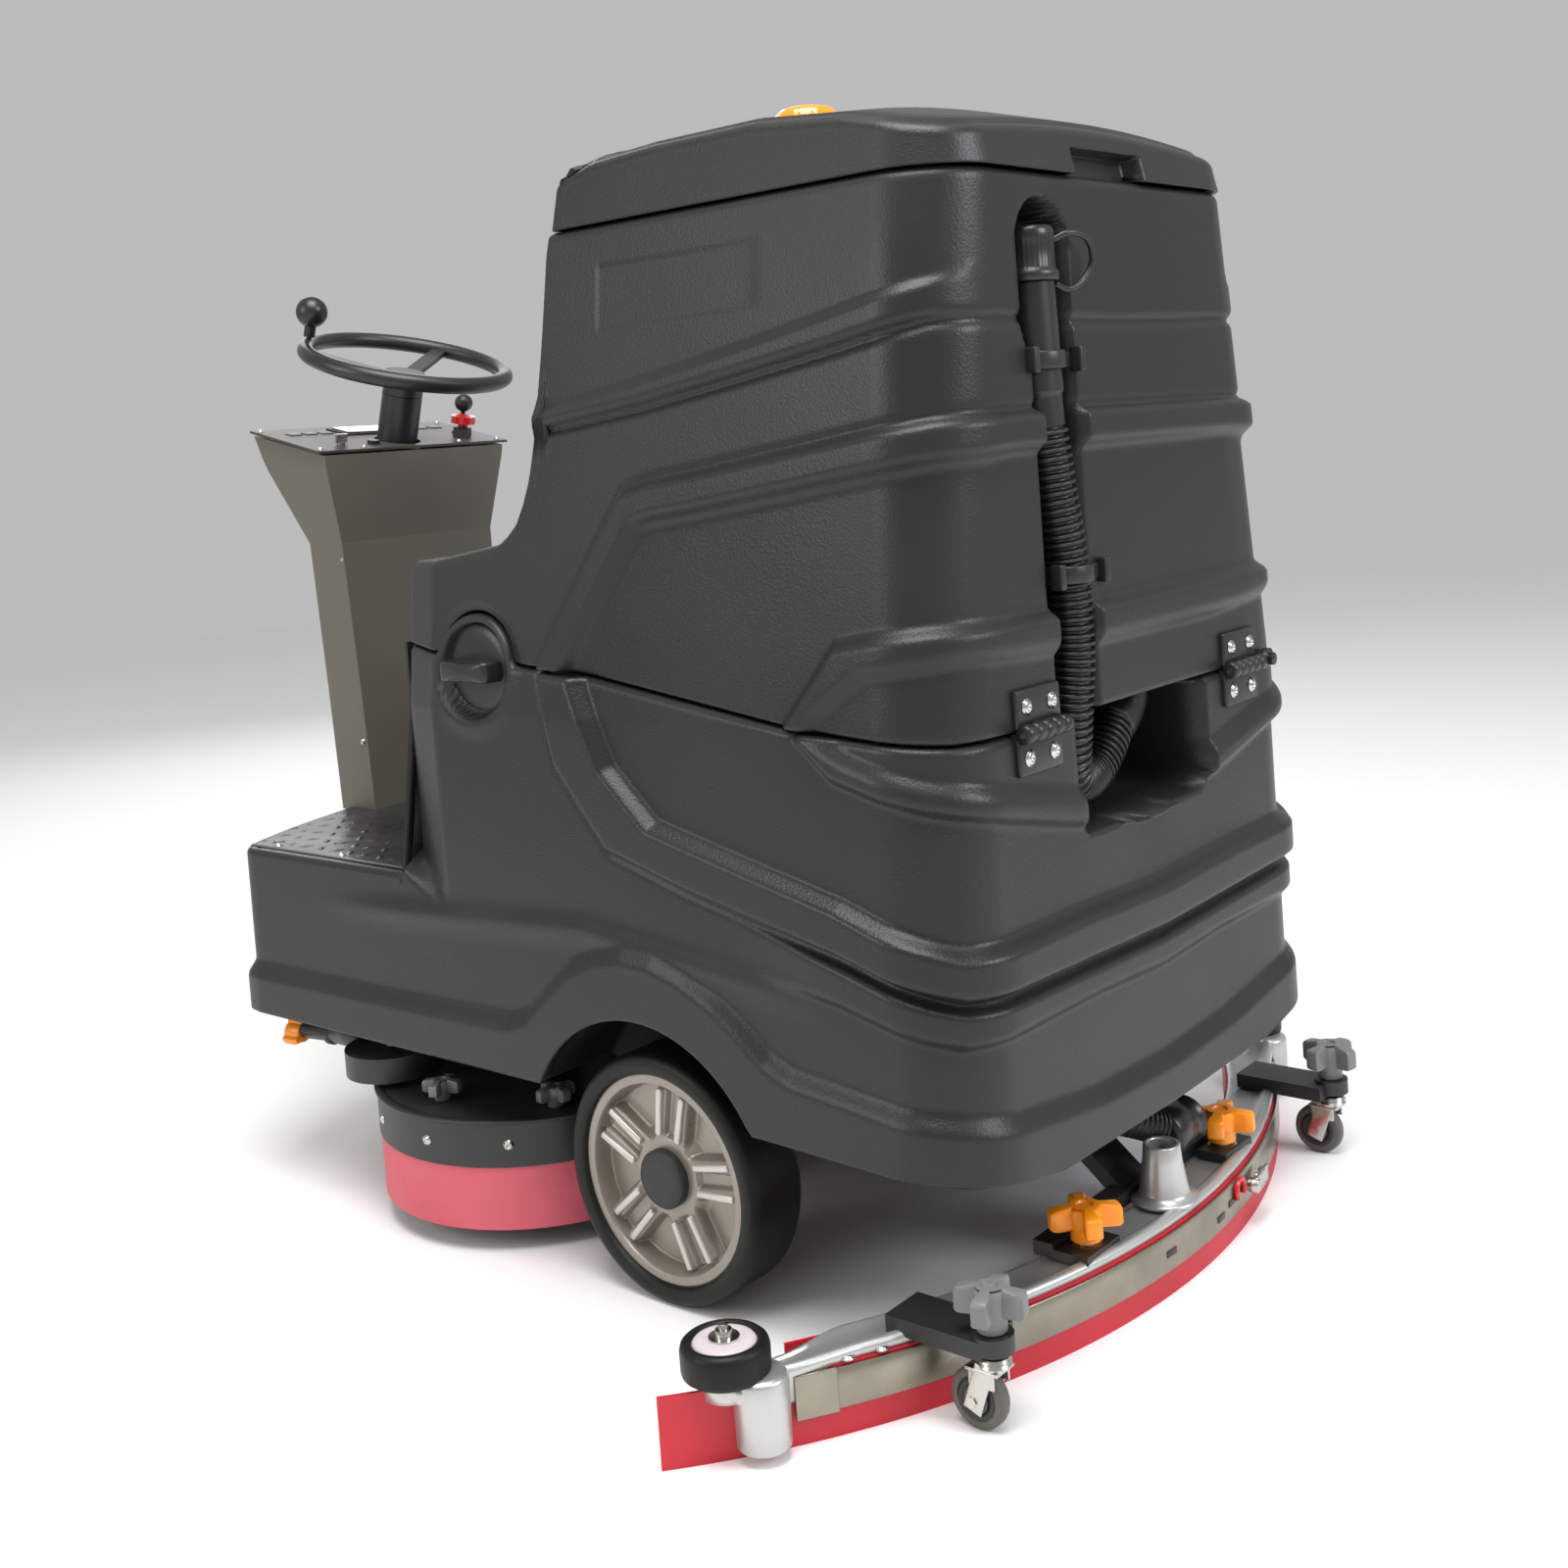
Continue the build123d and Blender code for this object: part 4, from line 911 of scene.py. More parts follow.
def tube(name, points, radius, count=200, around=24):
    """A closed tube along a smooth path; radius is a number or a function of the distance along it."""
    line, along = smooth_path(points, count)
    heading_of = np.gradient(line, axis=0)
    heading_of /= np.linalg.norm(heading_of, axis=1, keepdims=True)
    side = np.cross(heading_of[0], (0.3, 1.0, 0.1))
    angle = np.linspace(0, 2 * math.pi, around, endpoint=False)
    rings = []
    radii = np.broadcast_to(radius(along) if callable(radius) else radius, count)
    for centre, ahead_here, r in zip(line, heading_of, radii):
        side = side - ahead_here * side.dot(ahead_here)
        side /= np.linalg.norm(side)
        other = np.cross(ahead_here, side)
        rings.append(centre + r * (np.cos(angle)[:, None] * side + np.sin(angle)[:, None] * other))
    faces = grid_faces(count, around, wrap_cols=True)
    faces.append(list(range(around))[::-1])
    faces.append([(count - 1) * around + i for i in range(around)])
    return mesh_object(name, np.array(rings), faces)


HOSE_ROUTE = [
    (148, 438, 1160), (146, 440, 1030), (137, 442, 940), (124, 444, 850), (118, 442, 760), (120, 436, 690),
    (112, 424, 622), (84, 414, 596), (30, 402, 594), (-20, 396, 622), (-60, 390, 656),
]


def hose_radius(d):
    """A smooth cuff 150 mm long that steps down to the hose, whose ribs repeat every 9.5 mm."""
    ribs = 25.0 + 2.8 * np.clip(1.6 * np.sin(2 * math.pi * d / 9.5), -1, 1)
    cuff = 27.5 - 2.5 * ramp(d, 118, 126)
    return np.where(d < 158, cuff, ribs)


hose = tube("drain_hose_tube", HOSE_ROUTE, hose_radius, 900, 28)
made(hose, rubber, "upper_body", "hose_rubber", "drain_hose")
bend = [(-40, 392, 640), (-66, 390, 656), (-78, 390, 678), (-78, 390, 705)]
elbow = tube("drain_elbow", bend, 31.0, 60, 32)
made(elbow, rubber, "upper_body", "hose_rubber")
clamp = turned(
    "hose_clamp", [(31, 684), (34.5, 684), (35.5, 685), (35.5, 697), (34.5, 698), (31, 698)], (-78, 390, 0)
)
made(clamp, bright_steel, "upper_body", "bright_steel", sharp=40)
clamp_screw = turned("clamp_screw", [(6, -12), (7, -10), (7, 10), (6, 12)], (-78, 428, 691), (1, 0, 0), 20)
made(clamp_screw, bright_steel, "upper_body", "bright_steel", sharp=40)
cap = turned(
    "drain_cap",
    [
        (30, 1161), (33, 1162), (33, 1171), (31, 1173), (29, 1176), (29, 1204), (30, 1206), (30, 1216),
        (27, 1221), (12, 1222),
    ],
    (148, 438, 0), count=96, radius=lambda r, h, a: r + 0.5 * np.cos(32 * a) * (h > 1175) * (h < 1206),
)
made(cap, black_plastic, "drain_hose_cap", "black_plastic", "drain_hose_cap")
strap = [
    (128, 458, 1206), (110, 470, 1213), (84, 476, 1206), (72, 474, 1184), (84, 468, 1162), (108, 462, 1152),
    (128, 458, 1158),
]
made(tube("cap_strap", strap, 3.6, 90, 14), rubber, "drain_hose_cap", "black_plastic")
profile = [(9, 0), (12, 2), (12, 16), (8, 20), (8, 26), (6, 27)]
spur = turned("breather_stub", profile, (-292, 462, 686), (0, 1, 0), 24)
made(spur, black_plastic, "chassis", "black_plastic", sharp=40)
bolt_head = turned("stub_bolt", [(8, 0), (8, 7), (7, 8)], (-305, 470, 690), (-1, 0.2, 0), 6)
made(bolt_head, black_plastic, "chassis", "black_plastic", sharp=30)
for number, (x, y, z) in enumerate(((147, 440, 1075), (123, 444, 838))):
    profile = [(28.5, -9), (31, -10), (32, -8), (32, 8), (31, 10), (28.5, 9)]
    band = turned(f"hose_clip_band_{number}", profile, (x, y, z), ring=True)
    made(band, black_plastic, "upper_body", "black_plastic", "hose_clips")
    for side in (-1, 1):
        bar = slab(f"hose_clip_bar_{number}_{side}", (x + side * 38, y + 14, z), 22, 9, 17, *UPRIGHT, 2)
        made(bar, black_plastic, "upper_body", "black_plastic")
        ear = slab(f"hose_clip_ear_{number}_{side}", (x + side * 47, 464, z), 11, 16, 28, *UPRIGHT, 2.5)
        made(ear, black_plastic, "upper_body", "black_plastic")

# ---- Solution filler cap: a black cap with a raised grip, screwed into the collar's dish ----
# Its rim is knurled, and the grip is two lobes that meet in a thick bar.
filler = turned(
    "filler_disc",
    [(40, -30), (43, -26), (43, -14), (57, -12), (58, -10), (58, -4), (55, -1), (46, 1), (30, 2), (8, 2)],
    (386, FILLER_Y, FILLER_Z), (1, 0, 0), 120,
    radius=lambda r, h, a: r + 0.9 * np.cos(40 * a) * (r > 55),
)
made(filler, black_plastic, "filler_cap", "black_plastic", "filler_cap")


def grip_radius(r, h, a):
    """Two opposite lobes: narrow across and long along, widest at the ends."""
    along, across = np.abs(np.cos(a)), np.abs(np.sin(a))
    return r * np.clip(0.30 / np.maximum(across, 0.02), 0, 1) * (0.9 + 0.1 * along)


made(
    turned(
        "filler_grip", [(46, 0), (46, 3), (44, 22), (42, 27), (36, 30), (6, 31)], (386, FILLER_Y, FILLER_Z),
        (1, 0, 0), 96, radius=grip_radius,
    ),
    black_plastic, "filler_cap", "black_plastic", sharp=50,
)

# ---- Rear wheels: cast hubs with five twin spokes, and solid black rubber tyres ----
# The hub's face is one cast surface: rim lip, spokes and the pockets between them. Two machined ribs are
# set on each spoke, and a plastic cap closes the middle.
hub_cast = finish(
    "hub_cast", (0.29, 0.26, 0.225), (0.245, 0.22, 0.19), (0.26, 0.38), grain=350.0, bump=0.12, Metallic=0.45
)
hub_edge = finish("hub_edge", (0.55, 0.53, 0.49), (0.47, 0.45, 0.42), (0.22, 0.34), Metallic=0.5)
cap_grey = finish(
    "cap_grey", (0.030, 0.031, 0.028), (0.038, 0.039, 0.036), (0.5, 0.6), grain=500.0, Specular_IOR_Level=0.3,
)
tyre_rubber = finish(
    "tyre_rubber", (0.006, 0.0065, 0.0055), (0.009, 0.0095, 0.0085), (0.42, 0.56), grain=250.0, bump=0.3,
    Specular_IOR_Level=0.25,
)
WHEEL_X, HUB_HALF, SPOKE_START = 347.0, 38, 0.14


def hub_face(r, a):
    """Height of the casting: a lip outside, deep pockets inside, and five spokes slotted down the middle."""
    height = -24.0 * (1 - ramp(r, 108, 115)) - 2.0 * ramp(r, 124, 127.5)
    step = 2 * math.pi / 5
    turn_by = (a + step / 2) % step - step / 2
    along, across = r * np.cos(turn_by), np.abs(r * np.sin(turn_by))
    inside = (1 - ramp(r, 106, 113)) * ramp(r, 36, 44)
    spoke = 1 - ramp(across, 19.0 + 0.04 * r, 25.0 + 0.04 * r)
    slot = (1 - ramp(across, 6.0, 11.0)) * ramp(along, 46, 54)
    height += inside * (spoke * 15.0 - 8.0 * slot)
    return height + 15.0 * (1 - ramp(r, 44, 62)) * (1 - inside * spoke)


for side, name in ((1, "left"), (-1, "right")):
    at, out_way = (side * WHEEL_X, 0, WHEEL_Z), Vector((side, 0, 0))
    radii = np.concatenate([np.linspace(30, 107, 62), np.linspace(108, 127, 24)])
    angle = np.linspace(0, 2 * math.pi, 420, endpoint=False)
    rr, aa = np.meshgrid(radii, angle, indexing="ij")
    turned_aa = aa + SPOKE_START
    front = np.stack([
        side * (WHEEL_X + HUB_HALF + hub_face(rr, aa)), side * rr * np.cos(turned_aa),
        WHEEL_Z + rr * np.sin(turned_aa),
    ], -1)
    back = front[[-1, 0]]
    back[..., 0] = side * (WHEEL_X - HUB_HALF)
    rings = np.concatenate([front, back])[::-1]
    faces = grid_faces(*rings.shape[:2], wrap_rows=True, wrap_cols=True)
    hub = mesh_object(f"{name}_hub_casting", rings, faces)
    made(hub, hub_cast, f"{name}_wheel", "hub_cast", f"{name}_wheel_hub", sharp=70)
    for number in range(10):
        a = SPOKE_START + 2 * math.pi * (number // 2) / 5
        spoke_way = Vector((0, side * math.cos(a), math.sin(a)))
        beside = Vector((0, -side * math.sin(a), math.cos(a))) * (1 if number % 2 else -1)
        way = (spoke_way + 0.06 * beside).normalized()
        middle = spoke_way * 78 + beside * 16.5 + out_way * (WHEEL_X + 29) + WAY_Z * WHEEL_Z
        rib = slab(f"{name}_hub_rib_{number}", middle, 58, 9, 12, way, out_way.cross(way), out_way, 2.6)
        made(rib, hub_edge, f"{name}_wheel", "hub_cast")
    profile = [(30, -36), (33, 20), (35, 30), (35, 38), (32, 41.5), (20, 42.5), (4, 42.5)]
    hub_cap = turned(f"{name}_hub_cap", profile, at, out_way, 64)
    made(hub_cap, cap_grey, f"{name}_wheel", "hub_cast")
    profile = [
        (127.2, -44), (140, -45), (146, -42.5), (149.4, -37), (150, -30), (150, 30), (149.4, 37),
        (146, 42.5), (140, 45), (130, 44), (127.2, 42),
    ]
    outer_ring = turned(f"{name}_tyre_ring", profile, at, out_way, 128, ring=True)
    made(outer_ring, tyre_rubber, f"{name}_wheel", "tyre_rubber", f"{name}_tyre")
dress("drive_wheel", tyre_rubber)

# ---- Footwell: a black tread plate with raised lozenges, screwed down on the sill ----
# It follows the bowed nose; neighbouring lozenges lie across each other.
tread_paint = finish(
    "tread_paint", (0.012, 0.012, 0.012), (0.03, 0.03, 0.03), (0.25, 0.42), grain=500.0, bump=0.3,
)
PLATE_HALF, PLATE_FRONT, PLATE_REAR, PLATE_BOW = 384.0, -894.0, -428.0, 96.0
plate_x = np.linspace(-PLATE_HALF, PLATE_HALF, 256)
share = np.linspace(0, 1, 150)[:, None]
plate_front = PLATE_FRONT + (PLATE_BOW / PLATE_HALF**2) * plate_x**2
plate_y = plate_front[None, :] * (1 - share) + PLATE_REAR * share
plate_xx = np.broadcast_to(plate_x, plate_y.shape)
CELL = 34.0
column_no, row_no = np.floor(plate_xx / CELL), np.floor(plate_y / CELL)
in_x, in_y = plate_xx - (column_no + 0.5) * CELL, plate_y - (row_no + 0.5) * CELL
slant = np.where((column_no + row_no) % 2 == 0, 1.0, -1.0)
long_way, cross_way = (in_x + slant * in_y) / math.sqrt(2), (in_x - slant * in_y) / math.sqrt(2)
lozenge = 1 - ramp(np.abs(long_way) / 14.0 + np.abs(cross_way) / 4.2, 0.72, 1.0)
edge = np.minimum(PLATE_HALF - np.abs(plate_xx), plate_y - plate_front[None, :])
edge = np.minimum(edge, PLATE_REAR - plate_y)
plate_z = 480.0 + 1.8 * lozenge * ramp(edge, 4, 8) - 1.5 * (1 - ramp(edge, 0, 3))
plate = np.stack([plate_xx, plate_y, plate_z], -1)
tread = mesh_object("tread_plate_sheet", plate, grid_faces(*plate_y.shape))
thicken(tread, 4.0)
made(tread, tread_paint, "chassis", "black_steel", "tread_plate")

# ---- Console: folded steel tower in grey-beige powder paint, with a sloping control panel ----
# The tower is screwed along its rear edge; the panel carries the display, key, horn, stop and lever.
tower_paint = finish(
    "tower_paint", (0.098, 0.091, 0.072), (0.115, 0.107, 0.086), (0.42, 0.55), grain=900.0, bump=0.15
)
stop_red = finish("stop_red", (0.62, 0.01, 0.015), (0.55, 0.01, 0.012), (0.25, 0.35), Coat_Weight=0.3)
dress("console_tower", tower_paint)
panel_paint = finish("panel_paint", (0.040, 0.037, 0.030), (0.05, 0.046, 0.038), (0.4, 0.5), grain=800.0)
dress("control_panel", panel_paint)
for node in (
    "steering_column", "steering_wheel", "horn_button", "accelerator_pedal", "spinner_knob",
    "direction_lever",
):
    dress(node, black_plastic)
dress("stop_button", stop_red)
dress("start_key", bright_steel)
for side in (-1, 1):
    for number, (x, y, z) in enumerate(((147.5, -842, 874), (143.2, -836, 587))):
        button_screw(f"tower_screw_{number}_{side}", (side * x, y, z), (side, 0, 0.03), 4, "chassis")
TILT = math.radians(13.3)
panel_up = Vector((0, math.sin(TILT), math.cos(TILT)))
panel_back = Vector((0, math.cos(TILT), -math.sin(TILT)))
PANEL = Vector((0, -910, 1060.5))


def on_panel(x, y, height):
    """A place on the sloping panel: x to the left, y towards the driver, height above its underside."""
    return PANEL + Vector((x, 0, 0)) + panel_back * y + panel_up * height


for number, (x, y) in enumerate(((178, 78), (-178, 78), (178, -80), (-178, -80), (96, 78), (-96, 78))):
    button_screw(f"panel_screw_{number}", on_panel(x, y, 4), panel_up, 4, "chassis")
glass = finish("display_glass", (0.01, 0.012, 0.014), (0.012, 0.016, 0.02), (0.05, 0.1), Coat_Weight=1.0)
label = finish("panel_label", (0.10, 0.10, 0.095), (0.12, 0.12, 0.115), (0.4, 0.5))
PANEL_WAYS = (WAY_X, panel_back, panel_up)
display = slab("display", on_panel(0, -42, 7.2), 108, 46, 2.4, *PANEL_WAYS, 0.9)
made(display, glass, "chassis", "black_plastic")
for number, x in enumerate((-142, -112, -82, 82, 112, 142)):
    key = slab(f"panel_key_{number}", on_panel(x, -42, 4.6), 22, 16, 2.0, *PANEL_WAYS, 0.8)
    made(key, label, "chassis", "black_plastic")
profile = [(17, 4), (16, 7), (12, 11), (7, 14), (5, 18)]
lever_ring = turned("lever_gaiter", profile, on_panel(-152, 18, 0), panel_up, 32)
made(lever_ring, black_plastic, "chassis", "black_plastic")

# ---- Brush deck: pressed steel housing, pink splash skirt held by screws, grey hand knobs ----
# The skirt is a soft polyurethane curtain under the housing's band; the guide rollers keep it off walls.
skirt_pink = finish(
    "skirt_pink", (0.52, 0.06, 0.095), (0.60, 0.10, 0.14), (0.5, 0.65), grain=35.0, bump=0.5, depth=0.003,
)
knob_grey = finish("knob_grey", (0.145, 0.143, 0.140), (0.17, 0.168, 0.165), (0.3, 0.42))
knob_orange = finish("knob_orange", (0.90, 0.26, 0.004), (0.95, 0.30, 0.008), (0.3, 0.4), Coat_Weight=0.15)
bristle = finish(
    "bristle", (0.03, 0.03, 0.04), (0.06, 0.06, 0.08), (0.6, 0.8), grain=260.0, bump=1.0, depth=0.002,
)
for node in ("deck_housing", "guide_rollers"):
    dress(node, black_steel)
dress("splash_skirt", skirt_pink)
for node in ("left_brush", "right_brush"):
    dress(node, bristle)
DECK_X, DECK_Y, DECK_R = 210.0, -400.0, 225.0
for side in (1, -1):
    for number, degrees in enumerate((-85, -54.5, -24, 6, 36.5, 67)):
        a = math.radians(degrees)
        way = (side * math.cos(a), math.sin(a), 0)
        at = (side * DECK_X + DECK_R * way[0], DECK_Y + DECK_R * way[1], 141)
        button_screw(f"skirt_screw_{side}_{number}", at, way, 5.5, "brush_deck")
    lip = turned(
        f"deck_lip_{side}", [(216, 168), (227, 168), (228.5, 170), (227.5, 172.4), (216, 172.6)],
        (side * DECK_X, DECK_Y, 0), count=160, ring=True,
    )
    made(lip, black_steel, "brush_deck", "black_steel")
    button_screw(f"roller_screw_{side}", (side * 345, -548, 214), (0, 0, 1), 9, "brush_deck")


def lobes(share, count, start):
    """A radius rule for star knobs: full radius on each lobe, share of it between them."""
    def rule(r, h, a):
        step = 2 * math.pi / count
        off = np.abs((a - start + step / 2) % step - step / 2)
        narrow = share + (1 - share) * (1 - ramp(off, 0.21, 0.42))
        return np.where(r > 0.46 * np.max(r), r * narrow, r)
    return rule


def hand_knob(name, at, r, height, material, body, slot_name, start, *replaced):
    """A four-lobed hand knob: a round hub under blunt lobes with soft edges and a dished top."""
    profile = [
        (0.40 * r, 0), (0.42 * r, 1), (0.42 * r, 0.34 * height), (0.93 * r, 0.36 * height),
        (r, 0.42 * height), (r, 0.80 * height), (0.97 * r, 0.88 * height), (0.90 * r, 0.93 * height),
        (0.62 * r, 0.97 * height), (0.40 * r, height), (0.24 * r, height), (0.20 * r, 0.94 * height),
    ]
    knob = turned(name, profile, at, count=144, radius=lobes(0.46, 4, start))
    return made(knob, material, body, slot_name, *replaced, sharp=38)


for number, (x, y) in enumerate(((378, -408), (318, -252), (-378, -408), (-318, -252))):
    hand_knob(
        f"deck_knob_{number}", (x, y, 172), 27, 27, knob_grey, "brush_deck", "knob_grey", 0.4 + number,
        "deck_knobs",
    )

# ---- Solution filter and valve: black plastic fittings with an orange wing cap ----
# They hang from a steel bracket under the footwell's left corner, where the strainer can be reached.
profile = [(14, 0), (20, 3), (20, 60), (17, 64), (10, 70)]
filter_body = turned("filter_body", profile, (330, -700, 206), (0, 1, 0), 32)
made(filter_body, black_plastic, "chassis", "black_plastic", "solution_fittings")
profile = [(11, -6), (12, 0), (12, 46), (16, 50), (16, 60)]
neck = turned("filter_neck", profile, (344, -760, 200), (-0.2, 1, 0), 32)
made(neck, black_plastic, "chassis", "black_plastic")
wing_cap = turned(
    "filter_cap", [(8, -4), (20, -2), (21, 2), (21, 20), (19, 24), (12, 26)], (350, -784, 196),
    (-0.2, 1, 0), 96,
    radius=lobes(0.72, 3, 0.5),
)
made(wing_cap, knob_orange, "chassis", "black_plastic", sharp=40)
bracket = slab("filter_bracket", (339, -726, 222), 46, 56, 5, *UPRIGHT, 1.2)
made(bracket, black_steel, "chassis", "black_steel")

# ---- Squeegee: cast aluminium beam, two polyurethane blades, a stainless band and its toggle latch ----
# The beam's outer edge is a round bead. Its ends turn out to the bumper rollers, the suction tube stands
# on its middle, and the band presses the rear blade against it.
cast_aluminium = finish(
    "cast_aluminium", (0.54, 0.54, 0.52), (0.46, 0.46, 0.45), (0.28, 0.44), grain=260.0, bump=0.25,
    Metallic=0.7,
)
stainless = finish(
    "stainless_band", (0.31, 0.285, 0.225), (0.255, 0.235, 0.185), (0.22, 0.38), grain=120.0, bump=0.1,
    cloud=14.0, Metallic=0.9,
)
blade_red = finish(
    "blade_red", (0.55, 0.010, 0.026), (0.47, 0.009, 0.022), (0.4, 0.55), grain=200.0, bump=0.15,
)
ARC_Y, ARC_R, BAND_FACE = -485.0, 970.0, 974


def arc_sweep(name, profile, half, count=240, shift=None):
    """A closed profile of (radius, z) points carried round the blade's centre between X = -half and half."""
    reach = math.asin(half / ARC_R)
    angle = np.linspace(-reach, reach, count)
    rows = []
    for r, z in profile:
        rr, zz = np.full(count, float(r)), np.full(count, float(z))
        if shift:
            rr, zz = shift(rr, zz, ARC_R * np.sin(angle))
        rows.append(np.stack([rr * np.sin(angle), ARC_Y + rr * np.cos(angle), zz], -1))
    n = len(profile)
    faces = grid_faces(n, count, wrap_rows=True)
    faces.append([i * count for i in range(n)])
    faces.append([i * count + count - 1 for i in range(n)][::-1])
    return mesh_object(name, np.array(rows), faces)


def beam_end(r, z, x):
    """The beam narrows towards each end and swings out over the blade, to meet the round column."""
    away = ramp(np.abs(x), 470, 556)
    return r + away * (34.0 * (1 - ramp(r, 908, 950)) + 10.0 * ramp(r, 908, 950)), z


beam_profile = [
    (908, 48), (908, 79), (911, 82), (916, 82), (920, 79.5), (946, 79.5), (951, 81), (954, 84.5), (959, 87),
    (965, 86), (968.5, 82), (968.5, 77.5), (966, 74), (965, 49), (962, 46), (911, 46),
]
beam = arc_sweep("casting_beam", beam_profile, 562, shift=beam_end)
made(beam, cast_aluminium, "squeegee", "cast_aluminium", "squeegee_casting", sharp=45)
roller_white = finish("roller_disc", (0.55, 0.47, 0.50), (0.62, 0.55, 0.57), (0.35, 0.45))
for side in (1, -1):
    roller_at = (side * 584, 274, 0)
    profile = [(26, 12), (28, 14), (29, 60), (29, 82), (27, 86), (20, 87.5), (4, 87.5)]
    column = turned(f"end_column_{side}", profile, (side * 570, 306, 0))
    made(column, cast_aluminium, "squeegee", "cast_aluminium")
    profile = [(24, 62), (28, 64), (29, 78), (27, 81.6), (14, 82)]
    seat = turned(f"bumper_seat_{side}", profile, (side * 584, 276, 0))
    made(seat, cast_aluminium, "squeegee", "cast_aluminium")
    bridge = slab(f"end_bridge_{side}", (side * 577, 291, 72), 50, 36, 19, *UPRIGHT, 6)
    made(bridge, cast_aluminium, "squeegee", "cast_aluminium")
    stud_profile = [(9, 112), (16, 119), (16, 121), (9, 121.3), (8.5, 128), (5, 128.5), (5, 133), (3, 134)]
    stud = turned(f"bumper_stud_{side}", stud_profile, roller_at, count=24)
    made(stud, bright_steel, "squeegee", "bright_steel", sharp=35)
    tyre_profile = [
        (20, 83), (41, 83), (45, 86), (46, 90), (46, 110), (44.5, 115), (41, 118), (36, 118.5), (33.5, 116),
        (33.5, 100), (20, 100),
    ]
    roller = turned(f"bumper_tyre_{side}", tyre_profile, roller_at, ring=True)
    roller_body = f"{'left' if side > 0 else 'right'}_bumper_roller"
    made(roller, tyre_rubber, roller_body, "grey_rubber", roller_body)
    disc_profile = [(10, 98), (33, 98), (33.3, 115), (31, 117.6), (26, 118.6), (12, 119), (10, 118)]
    disc = turned(f"bumper_disc_{side}", disc_profile, roller_at, ring=True)
    made(disc, roller_white, roller_body, "grey_rubber")
tube_profile = [
    (41, 84), (41, 87), (38, 89), (31, 91), (29, 96), (26.5, 112), (23.5, 130), (21.8, 149), (20.8, 150.5),
    (17.5, 150), (17, 148), (17, 80),
]
suction_tube = turned("suction_tube", tube_profile, (0, 448, 0), ring=True)
made(suction_tube, cast_aluminium, "squeegee", "cast_aluminium")

# The rear blade, its red edge above the band, and the front blade are polyurethane strips.
rear_strip = arc_sweep("rear_blade", [(966.4, 0), (966.4, 74.5), (970, 74.5), (970, 0)], 648)
made(rear_strip, blade_red, "squeegee", "blade_red", "squeegee_blades", sharp=30)
front_strip = arc_sweep("front_blade", [(904, 2), (904, 74), (907.4, 74), (907.4, 2)], 530)
made(front_strip, blade_red, "squeegee", "blade_red", sharp=30)
band_profile = [
    (970.4, 31), (970.4, 71), (971.2, 72), (973.2, 72), (974, 71), (974, 31), (973.2, 30), (971.2, 30),
]
band = arc_sweep("stainless_band", band_profile, 532)
made(band, stainless, "squeegee", "bright_steel", "squeegee_band", sharp=50)


def beside_band(x, out):
    """A point out from the band's face at X, with the directions along it and away from it."""
    angle = math.asin(x / ARC_R)
    away = Vector((math.sin(angle), math.cos(angle), 0))
    return Vector((0, ARC_Y, 0)) + away * (BAND_FACE + out), Vector((away.y, -away.x, 0)), away


for side in (-1, 1):
    at, along_band, away = beside_band(side * 520, 0.6)
    end_hook = slab(f"band_hook_{side}", at + WAY_Z * 51, 46, 46, 3.0, along_band, WAY_Z, away, 1.2)
    made(end_hook, stainless, "squeegee", "bright_steel")
for number, (x, z) in enumerate(((-96, 51), (-62, 45), (60, 51))):
    at, along_band, away = beside_band(x, 0.2)
    slot_mark = slab(f"band_slot_{number}", at + WAY_Z * z, 20, 8, 1.6, along_band, WAY_Z, away, 0.7)
    made(slot_mark, black_plastic, "squeegee", "black_plastic")
at, along_band, away = beside_band(-172, 7)
for number, (dx, dz, tip) in enumerate(((-14, 8, 1), (-14, -7, 1), (12, 8, -1), (12, -7, -1))):
    start = at + along_band * dx + WAY_Z * (51 + dz)
    wire = [
        start, start + away * 5 + along_band * tip * 4, start + away * 4 + along_band * tip * 16,
        start + along_band * tip * 22,
    ]
    body = "latch" if tip > 0 else "squeegee"
    made(tube(f"toggle_wire_{number}", wire, 2.6, 30, 12), bright_steel, body, "bright_steel")
toggle = slab("toggle_lever", at + away * 5 + WAY_Z * 52, 50, 20, 4, along_band, WAY_Z, away, 1.6)
made(toggle, bright_steel, "latch", "bright_steel", "squeegee_latch")
boss = turned("toggle_boss", [(8, -6), (9, -4), (9, 7), (6, 9)], at + along_band * 20 + WAY_Z * 51, away, 32)
made(boss, bright_steel, "squeegee", "bright_steel")
at, along_band, away = beside_band(-118, 3)
ring_points = [
    at + along_band * 13 * math.cos(a) + WAY_Z * (58 + 13 * math.sin(a)) for a in np.linspace(-0.6, 3.8, 14)
]
made(tube("latch_ring", ring_points, 3.4, 60, 14), stop_red, "squeegee", "stop_red")
for number, (x, y) in enumerate(((-486, 350), (-452, 368), (486, 350), (452, 368), (-300, 428), (300, 428))):
    button_screw(f"casting_bolt_{number}", (x, y, 77), (0, 0, 1), 7, "squeegee")

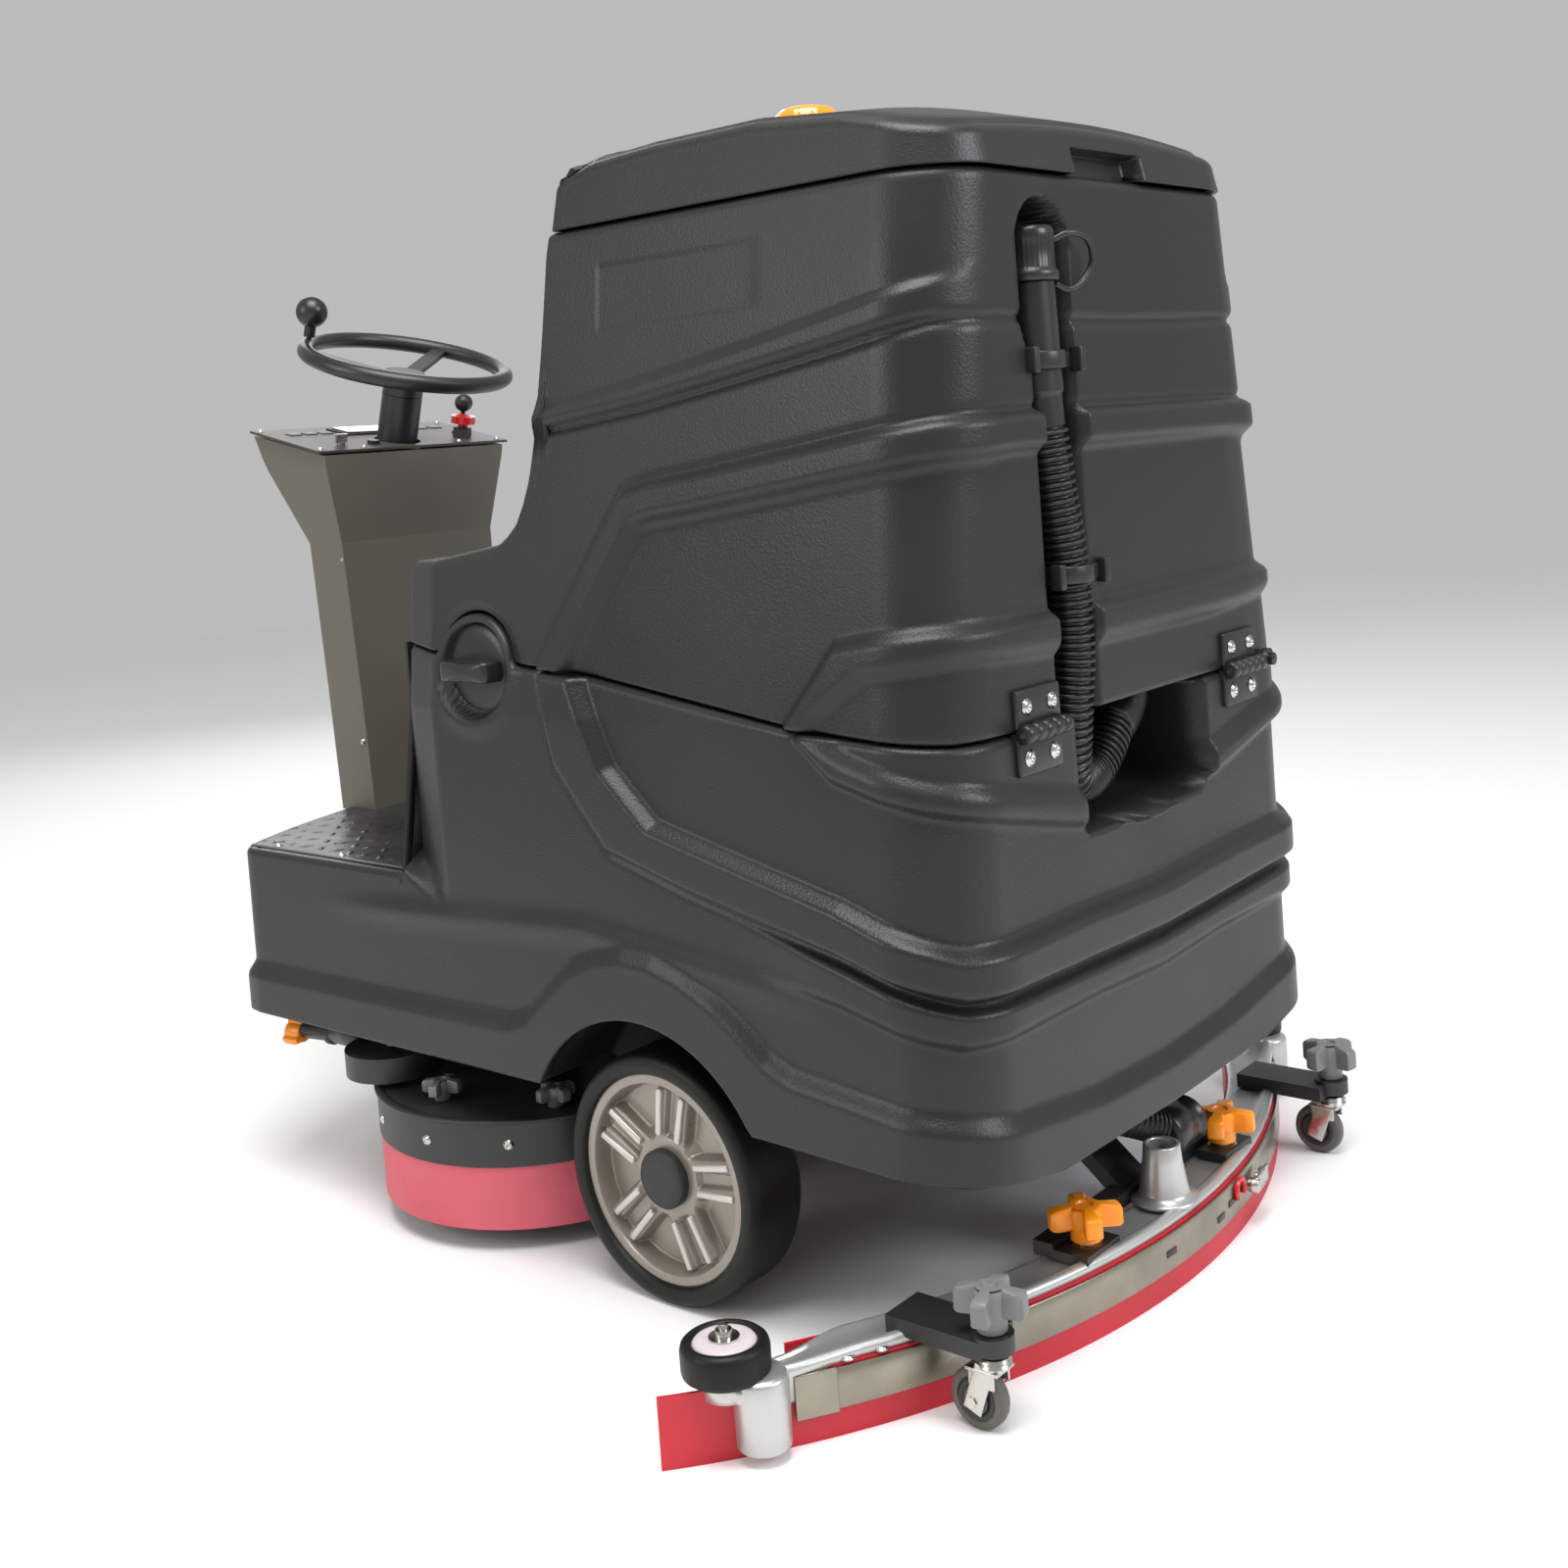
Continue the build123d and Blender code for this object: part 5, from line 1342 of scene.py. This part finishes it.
# ---- Clamps, castors and tow bracket: orange knobs clamp the casting, grey knobs set the castors ----
# Each castor is a zinc-plated fork on a swivel race, with a rubber wheel on a steel pin.
dress("squeegee_brackets", black_steel)
for number, x in enumerate((-164, 164)):
    hand_knob(
        f"clamp_knob_{number}", (x, 440, 96), 42, 40, knob_orange, "squeegee", "knob_orange",
        0.3 + 0.5 * number, "clamp_knobs",
    )
    profile = [(17, 88), (18, 89), (18, 92), (12, 93), (12, 97), (5, 97)]
    washer = turned(f"clamp_washer_{number}", profile, (x, 440, 0), count=24)
    made(washer, bright_steel, "squeegee", "bright_steel", sharp=35)
wheel_grey = finish("castor_rubber", (0.085, 0.082, 0.070), (0.10, 0.096, 0.082), (0.45, 0.6))
for side, name in ((1, "left"), (-1, "right")):
    x, y = side * 408, 477
    hand_knob(
        f"castor_knob_{name}", (x, y, 106), 38, 46, knob_grey, "squeegee", "knob_grey", 0.25 * side,
        "castor_knobs",
    )
    profile = [(12, 68), (17, 69), (18, 72), (16, 75), (18, 77), (16, 80.5), (10, 81)]
    race = turned(f"castor_race_{name}", profile, (x, y, 0), count=48)
    made(race, bright_steel, f"{name}_castor_fork", "bright_steel", sharp=40)
    profile = [(7.5, 66), (8, 70), (8, 82), (6.5, 84), (6.5, 128)]
    stem = turned(f"castor_stem_{name}", profile, (x, y, 0), count=32)
    made(stem, bright_steel, f"{name}_castor_fork", "bright_steel", f"{name}_castor_fork")
    crown_plate = slab(f"castor_crown_{name}", (x, y - 7, 67), 33, 40, 4, *UPRIGHT, 1.5)
    made(crown_plate, bright_steel, f"{name}_castor_fork", "bright_steel")
    down = Vector((0, -14, -38)).normalized()
    for ear_side in (-1, 1):
        ear = slab(
            f"castor_ear_{name}_{ear_side}", (x + ear_side * 14.5, y - 12, 47), 3, 22, 52, WAY_X,
            down.cross(WAY_X), -down, 1.2,
        )
        made(ear, bright_steel, f"{name}_castor_fork", "bright_steel")
        cheek = slab(
            f"castor_cheek_{name}_{ear_side}", (x + ear_side * 13.8, y - 8, 59), 3, 31, 19, *UPRIGHT, 1.4
        )
        made(cheek, bright_steel, f"{name}_castor_fork", "bright_steel")
    nut = turned(f"castor_nut_{name}", [(12, 104), (12, 109), (10, 110)], (x, y, 0), count=6)
    made(nut, bright_steel, "squeegee", "bright_steel", sharp=30)
    profile = [
        (4.2, -10), (14, -10), (15, -8), (27, -8.5), (30.5, -7.5), (32, -4), (32, 4), (30.5, 7.5),
        (27, 8.5), (15, 8), (14, 10), (4.2, 10),
    ]
    wheel = turned(f"castor_tyre_{name}", profile, (x, y - 20, 32), (1, 0, 0), 64, ring=True)
    made(wheel, wheel_grey, f"{name}_castor_wheel", "grey_rubber", f"{name}_castor_wheel")
    profile = [(14.5, -9.5), (22, -9.5), (23, -8), (23, 8), (22, 9.5), (14.5, 9.5)]
    wheel_ring = turned(f"castor_ring_{name}", profile, (x, y - 20, 32), (1, 0, 0), 48, ring=True)
    made(wheel_ring, black_plastic, f"{name}_castor_wheel", "grey_rubber")
    profile = [(6, -17.5), (6, -15), (3.5, -15), (3.5, 15), (6, 15), (6, 17.5)]
    pin = turned(f"castor_pin_{name}", profile, (x, y - 20, 32), (1, 0, 0), 6)
    made(pin, bright_steel, f"{name}_castor_fork", "bright_steel", sharp=30)

# ---- Suction hose: a short ribbed hose from under the body to a cuff beside the suction tube ----
# The hose is soft rubber with moulded ribs, and the plain cuff is pushed over its end.
suction_route = [(104, 372, 206), (96, 376, 200), (44, 398, 190), (0, 412, 172), (-44, 420, 150)]
suction = tube(
    "suction_hose_tube", suction_route, lambda d: 20.5 + 2.2 * np.sin(2 * math.pi * d / 9.0), 300, 24,
)
made(suction, rubber, "squeegee", "hose_rubber", "suction_hose")
cuff = turned(
    "suction_cuff",
    [(20, -34), (27, -31), (29, -27), (29, 6), (27, 8), (27, 26), (29, 28), (29, 31), (24, 33)],
    (-74, 424, 140), (-1, 0, 0.02), 48,
)
made(cuff, rubber, "squeegee", "hose_rubber")
